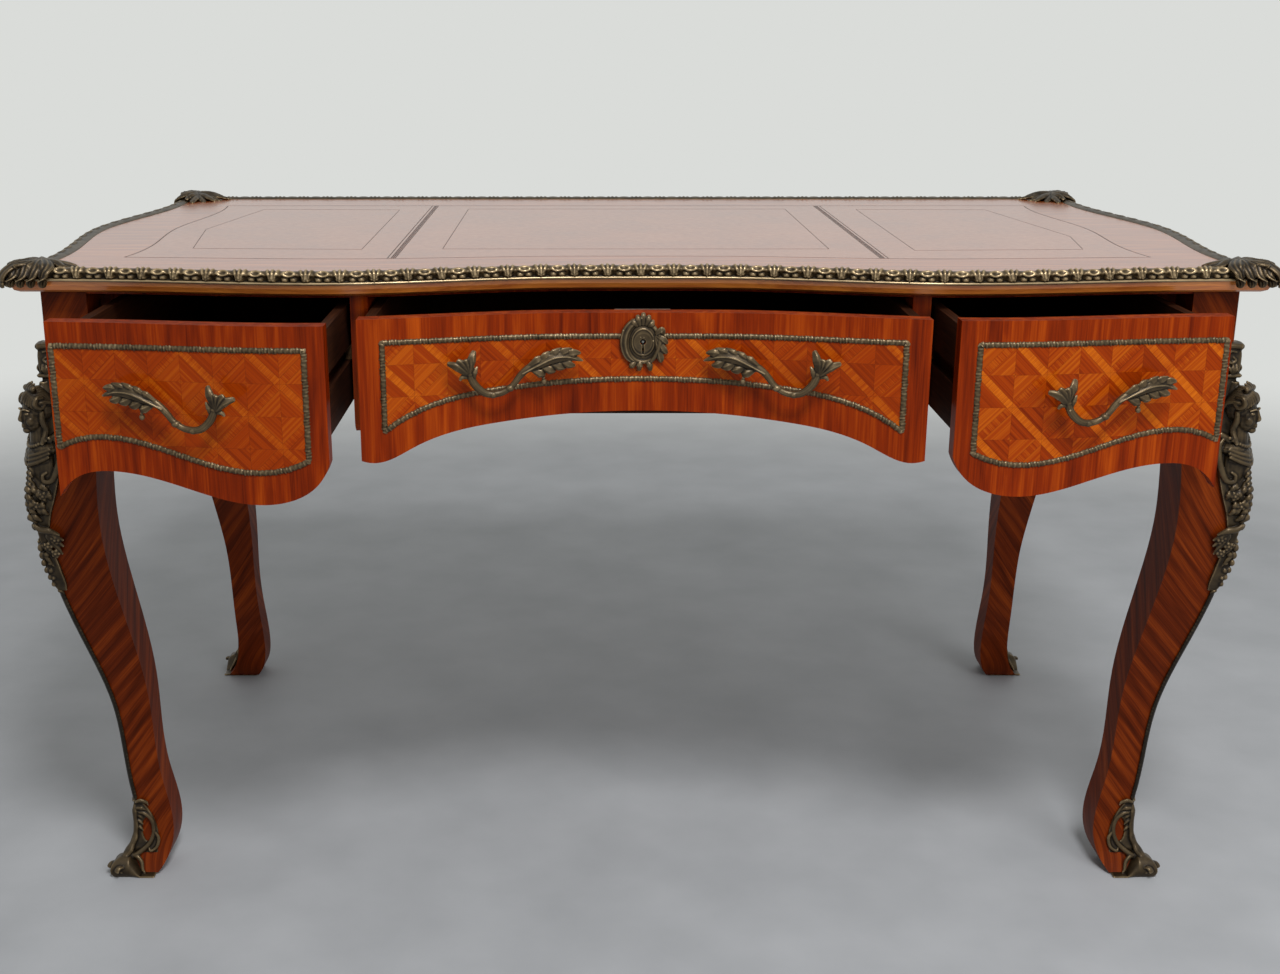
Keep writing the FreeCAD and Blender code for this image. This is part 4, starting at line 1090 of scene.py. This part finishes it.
# %% Ornament of one face of the mount
def mount_face(wax, swap):
    twig = face_brush(wax, swap)
    twig(((-5, 686, 3), (6, 687, 3.4), (17, 686, 3)), (4, 4, 4), (4.4, 4.6, 4.2))
    twig(((-4, 670, 2), (6, 670, 2), (15, 670, 1)), (15, 15, 14), (3, 3, 2.6))
    twig(((-4, 653, 2), (6, 653, 2.6), (16, 653, 2)), (2.4, 2.6, 2.4), (3.4, 3.6, 3.4))
    twig(((1, 680, 4), (9, 681, 5), (13, 674, 5), (8, 668, 5), (3, 671, 5), (6, 675, 5)),
         (1.4, 2, 2, 1.8, 1.5, 0.8), (1.8, 2.2, 2.2, 2, 1.8, 1), along=30)
    for tip in ((1, 667), (6, 669), (12, 665)):
        twig(((6, 655, 4), (tip[0] * 0.6 + 2, 661, 6), (*tip, 4)), (1.2, 2.4, 0.6), (1.4, 2, 0.6))
    twig(((28, 588, 1), (19, 581, 2), (9, 568, 2), (4, 553, 2), (3, 538, 1)),
         (3, 4, 4, 3.4, 2), (2, 3, 3, 2.6, 1.4), along=30)
    ball(wax, on_face(swap, 14, 553, 0), (6, 13, 24) if swap else (13, 6, 24))
    scroll = ((22, 583, 2), (29, 576, 3), (32, 563, 3), (31, 547, 3), (26, 535, 3), (18, 534, 3.4), (16, 541, 4),
              (21, 545, 4))
    twig(scroll, (2, 3, 3.6, 3.6, 3.2, 2.8, 2.2, 1.2), (2, 2.8, 3.2, 3.2, 3, 2.6, 2.2, 1.2), along=44)
    twig(((3, 535, 1), (9, 524, 2), (18, 523, 2), (24, 532, 1)), (1.4, 2.2, 2.2, 1), (1.6, 2, 2, 1))
    chance = random.Random(4)
    for row, z in enumerate((526, 517, 508, 499, 490)):
        for k in range(4 - row // 2):
            s = 1 + 6.4 * k + 1.6 * (row % 2) + chance.uniform(-1.2, 1.2)
            up, over = z + chance.uniform(-2.5, 2.5), chance.uniform(-4, 4)
            twig(((s + 3, up - 6, 0), (s + over / 2, up, 4), (s - 2 + over, up + 5, 1.5)),
                 (1.4, 3.4, 1.2), (1.4, 2.4, 1.2), along=10)
    for s, z in ((9, 505), (17, 517), (20, 463), (10, 455), (17, 446)):
        for petal in range(5):
            a = 2 * pi * petal / 5
            ball(wax, on_face(swap, s + 3.4 * cos(a), z + 3.4 * sin(a), 4), (2.3, 2.3, 2.3))
        ball(wax, on_face(swap, s, z, 5.4), (1.9, 1.9, 1.9))
    twig(((-1, 482, 1), (6, 476, 3), (16, 474, 3.4), (27, 468, 2)),
         (2, 4, 4.4, 1.4), (2, 3, 3, 1.4), veins=4, vein=0.2)
    for tip in ((29, 461), (27, 453), (24, 443)):
        twig(((10, 468, 1), ((10 + tip[0]) / 2, (474 + tip[1]) / 2, 3), (*tip, 1)),
             (2, 4, 1.2), (2, 2.6, 1), veins=3, vein=0.2)
    twig(((1, 456, 1), (8, 450, 2.4), (14, 440, 1)), (1.8, 2.8, 0.4), (1.8, 2.2, 0.4))
    twig(((0, 446, 1), (6, 438, 2.2), (10, 428, 1)), (1.8, 2.6, 0.4), (1.8, 2.2, 0.4))
    for s, z, r in ((5, 444, 3.4), (7, 433, 3), (4, 423, 2.8), (3, 413, 2.4)):
        ball(wax, on_face(swap, s, z, 1), (r, r, r))


print("faces ready")

# %% Model the mount and mirror it
ROSETTE = 507
wax = thinned("leg_mount_front_right")
bust(wax, 613, 3, 1.4)
for swap in (False, True):
    mount_face(wax, swap)
sprig = brush(wax, corner, OUT)
for k in range(8):
    for s in (-1, 1):
        sprig(((577 - 6.2 * k, 0, 0), (574 - 6.2 * k, 3 * s, 1.4), (569 - 6.2 * k, 5 * s, -1.5)),
              (1.2, 2.4, 0.6), (1.4, 2, 0.6), along=10)
for k, radius in enumerate((3.6, 3.4, 3.2, 3, 2.8, 2.6)):
    ball(wax, corner(452 - 9.5 * k, 0, 1), (radius, radius, 1.3 * radius))
for turn in range(6):
    angle = 2 * pi * turn / 6
    sprig([(ROSETTE + r * sin(angle), r * cos(angle), o) for r, o in ((0, 0), (5, 2), (9.5, -2.5))],
          (1, 3, 0.8), (1, 1.8, 0.8), along=10)
ball(wax, corner(ROSETTE, 0, 2.5), (3.4, 3.4, 3.4))
four_corners("cast_mount", "leg_mount", melt(wax, 0.85 * MM, 1))

# %% [markdown]
# ## Beads down the legs
# Below the mount a thin cast bead guards the corner of the leg, down to the foot. It is one rope with
# a slight ripple, bent to the leg's own edge on all four legs.

# %% Leg beads
BEAD_TOP, BEAD_STEP, BEAD_STEPS = 396, 3.1, 98
wax = bmesh.new()
for fy in (1, -1):
    for fx in (1, -1):
        flip = Matrix.Diagonal((fx, fy, 1))
        line = [MIDDLE + flip @ (corner(BEAD_TOP - BEAD_STEP * k) - MIDDLE) for k in range(BEAD_STEPS)]
        rope(wax, line, flip @ OUT, (4.4, 3.8), (2.6, 2.4), along=194, lobes=64, cut=0.1)
weld(wax)
finish("cast_leg_beads", wax, "carcass", "bronze", black_bronze, "leg_beads")

# %% [markdown]
# ## Feet
# A bronze shoe ends each leg. A scrolled rim leaves an opening on each face where the wood shows, a
# leaf climbs the corner, and a curled toe carries the weight. The plain solid again gives the bulk,
# and its heel is pressed down to a thin sole.

# %% Feet
SOLE_TOP = 30 * MM
HEEL_FROM, HEEL_RUN, HEEL_PRESS = 23, 14, 0.86


def shoe_face(wax, swap):
    twig = face_brush(wax, swap)
    twig(((1, 92, 2), (8, 95, 2.4), (15, 92, 2), (17, 86, 1.4)), (1.6, 2.8, 2.2, 0), (1.8, 2.2, 1.8, 0))
    twig(((1, 84, 2), (8, 84, 2.6), (14, 80, 1.6)), (1.8, 3, 0), (2, 2.4, 0))
    twig(((2, 78, 2), (11, 76, 2.4), (19, 66, 2.2), (21, 50, 2), (18, 36, 2.4), (9, 25, 3), (2, 22, 3)),
         (1.6, 2.4, 2.6, 2.6, 2.8, 3.4, 3), (1.8, 2.2, 2.2, 2.2, 2.4, 3, 3), along=40)
    twig(((21, 52, 2), (28, 43, 2), (29, 32, 2), (23, 27, 2), (19, 32, 2)),
         (1.6, 2.4, 2.2, 1.8, 0.8), (1.6, 2.2, 2, 1.8, 0.8), along=24)
    for rise in (72, 64, 56):
        twig(((0, rise + 4, 2), (5, rise, 2.4), (8, rise - 5, 1)), (1.4, 2, 0.3), (1.6, 1.8, 0.3), along=10)
    twig(((2, 22, 3), (10, 21, 3.4), (19, 15, 3), (27, 7, 2), (33, 4, 1.4)),
         (2.4, 3, 2.8, 2.2, 1), (2.4, 2.8, 2.4, 2, 1))
    for drop in (14, 9):
        twig(((-4, drop, 4), (6, drop - 1, 4), (15, drop - 4, 3)), (1.2, 2, 1), (1.2, 1.8, 1), along=14)


wax = bmesh.new()
wax.from_mesh(NODES["sabot_front_right"].data)
wax = melt(wax, 0.8 * MM, 0)
toe = Vector((max(v.co.x for v in wax.verts), min(v.co.y for v in wax.verts), 0))
for vert in wax.verts:
    heel = max(toe.x - vert.co.x, vert.co.y - toe.y) / MM
    if vert.co.z < SOLE_TOP:
        vert.co.z *= 1 - HEEL_PRESS * min(1.0, max(0.0, (heel - HEEL_FROM) / HEEL_RUN))
for swap in (False, True):
    shoe_face(wax, swap)
spine = ((96, 0, 0), (80, 0, 2.4), (60, 0, 2.6), (44, 0, 3), (30, 0, 6), (18, 0, 11))
climbing = brush(wax, corner, OUT)
climbing(spine, (0, 4, 4.2, 4.6, 6, 7), (0, 2.6, 2.6, 3, 4, 4), along=30, lobes=5, cut=0.16)
for s in (-1, 1):
    coil = [corner(10, 9 * s, 9) + (OUT * (7 - 0.8 * k) * cos(k * 0.8) + UP * (7 - 0.8 * k) * sin(k * 0.8)) * MM
            for k in range(8)]
    rope(wax, coil, ROUND, (2.6, 1.2), (4.5, 2), along=40)
shoe = melt(wax, 0.85 * MM, 1)
for vert in shoe.verts:
    vert.co.z = max(vert.co.z, 0.0)
four_corners("cast_shoe", "sabot", shoe)

# %% [markdown]
# ## Tooling on the leather
# A bookbinder's wheel pressed thin lines round each panel, and their gilding has long gone dark. They
# are fine ribbons laid a little proud of the leather, so they keep crisp from any side.
# The middle panel's line is drawn in a little, so that no two ribbons lie on one another at the seams.

# %% Tooled lines
LINE_WIDTH, EDGE_WIDTH, SEAM_WIDTH = 1.1 * MM, 2 * MM, 1.6 * MM
LINE_RISE, LINE_STEP, LINE_SIDES = 0.15 * MM, 3 * MM, 6
SEAM_HALF = 4.5 * MM
INNER_LINES = (
    ((-540, -109), (-568, 78), (-537, 317), (-336, 311), (-333, -118)),
    ((-235, -114), (-235, 321), (235, 321), (235, -114)),
    ((337, -127), (340, 317), (530, 311), (564, 5), (543, -118)),
)
leather_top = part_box("leather_centre")[1].z
wax = bmesh.new()


def tooled(places, width):
    """Flat closed line on the leather."""
    def section(share, turn):
        return width / 2 * cos(2 * pi * turn), LINE_RISE * sin(2 * pi * turn)
    loop(wax, [Vector((x, y, leather_top)) for x, y in places], UP, LINE_STEP, LINE_SIDES, section)


for line in INNER_LINES:
    tooled([(x * MM, y * MM) for x, y in line + line[:1]], LINE_WIDTH)
for node, shrink in (("leather_left", 1.0), ("leather_centre", 0.992), ("leather_right", 1.0)):
    tooled([(p.x * shrink, p.y) for p in max(outlines(node, UP), key=len)], EDGE_WIDTH)
for node, end in (("leather_left", 1), ("leather_right", 0)):
    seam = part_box(node)[end].x
    joint = [v.co.y for v in NODES[node].data.vertices if abs(v.co.x - seam) < 0.1 * MM]
    near, far, left, right = min(joint), max(joint), seam - SEAM_HALF, seam + SEAM_HALF
    tooled(((left, near), (right, near), (right, far), (left, far), (left, near)), SEAM_WIDTH)
weld(wax)
print("tooled vertices", len(wax.verts))

# %% Tooled leather
PRESSED = 1 / (9 * MM)

# Leather, pressed with a hot wheel: a dark, slightly shiny groove.
tooling, spot = blank_material("skiver_leather_tooled")
press = add(tooling, "TexNoise", {"Vector": spot, "Scale": PRESSED, "Detail": 4.0})
tones = add(tooling, "ValToRGB", {"Fac": press}, stops=((0.3, "#2c140d"), (0.7, "#6d4233")))
skin = add(tooling, "BsdfPrincipled", {"Base Color": tones, "Roughness": 0.45})
add(tooling, "OutputMaterial", {"Surface": skin})
finish("leather_tooling", wax, "carcass", "leather", tooling)
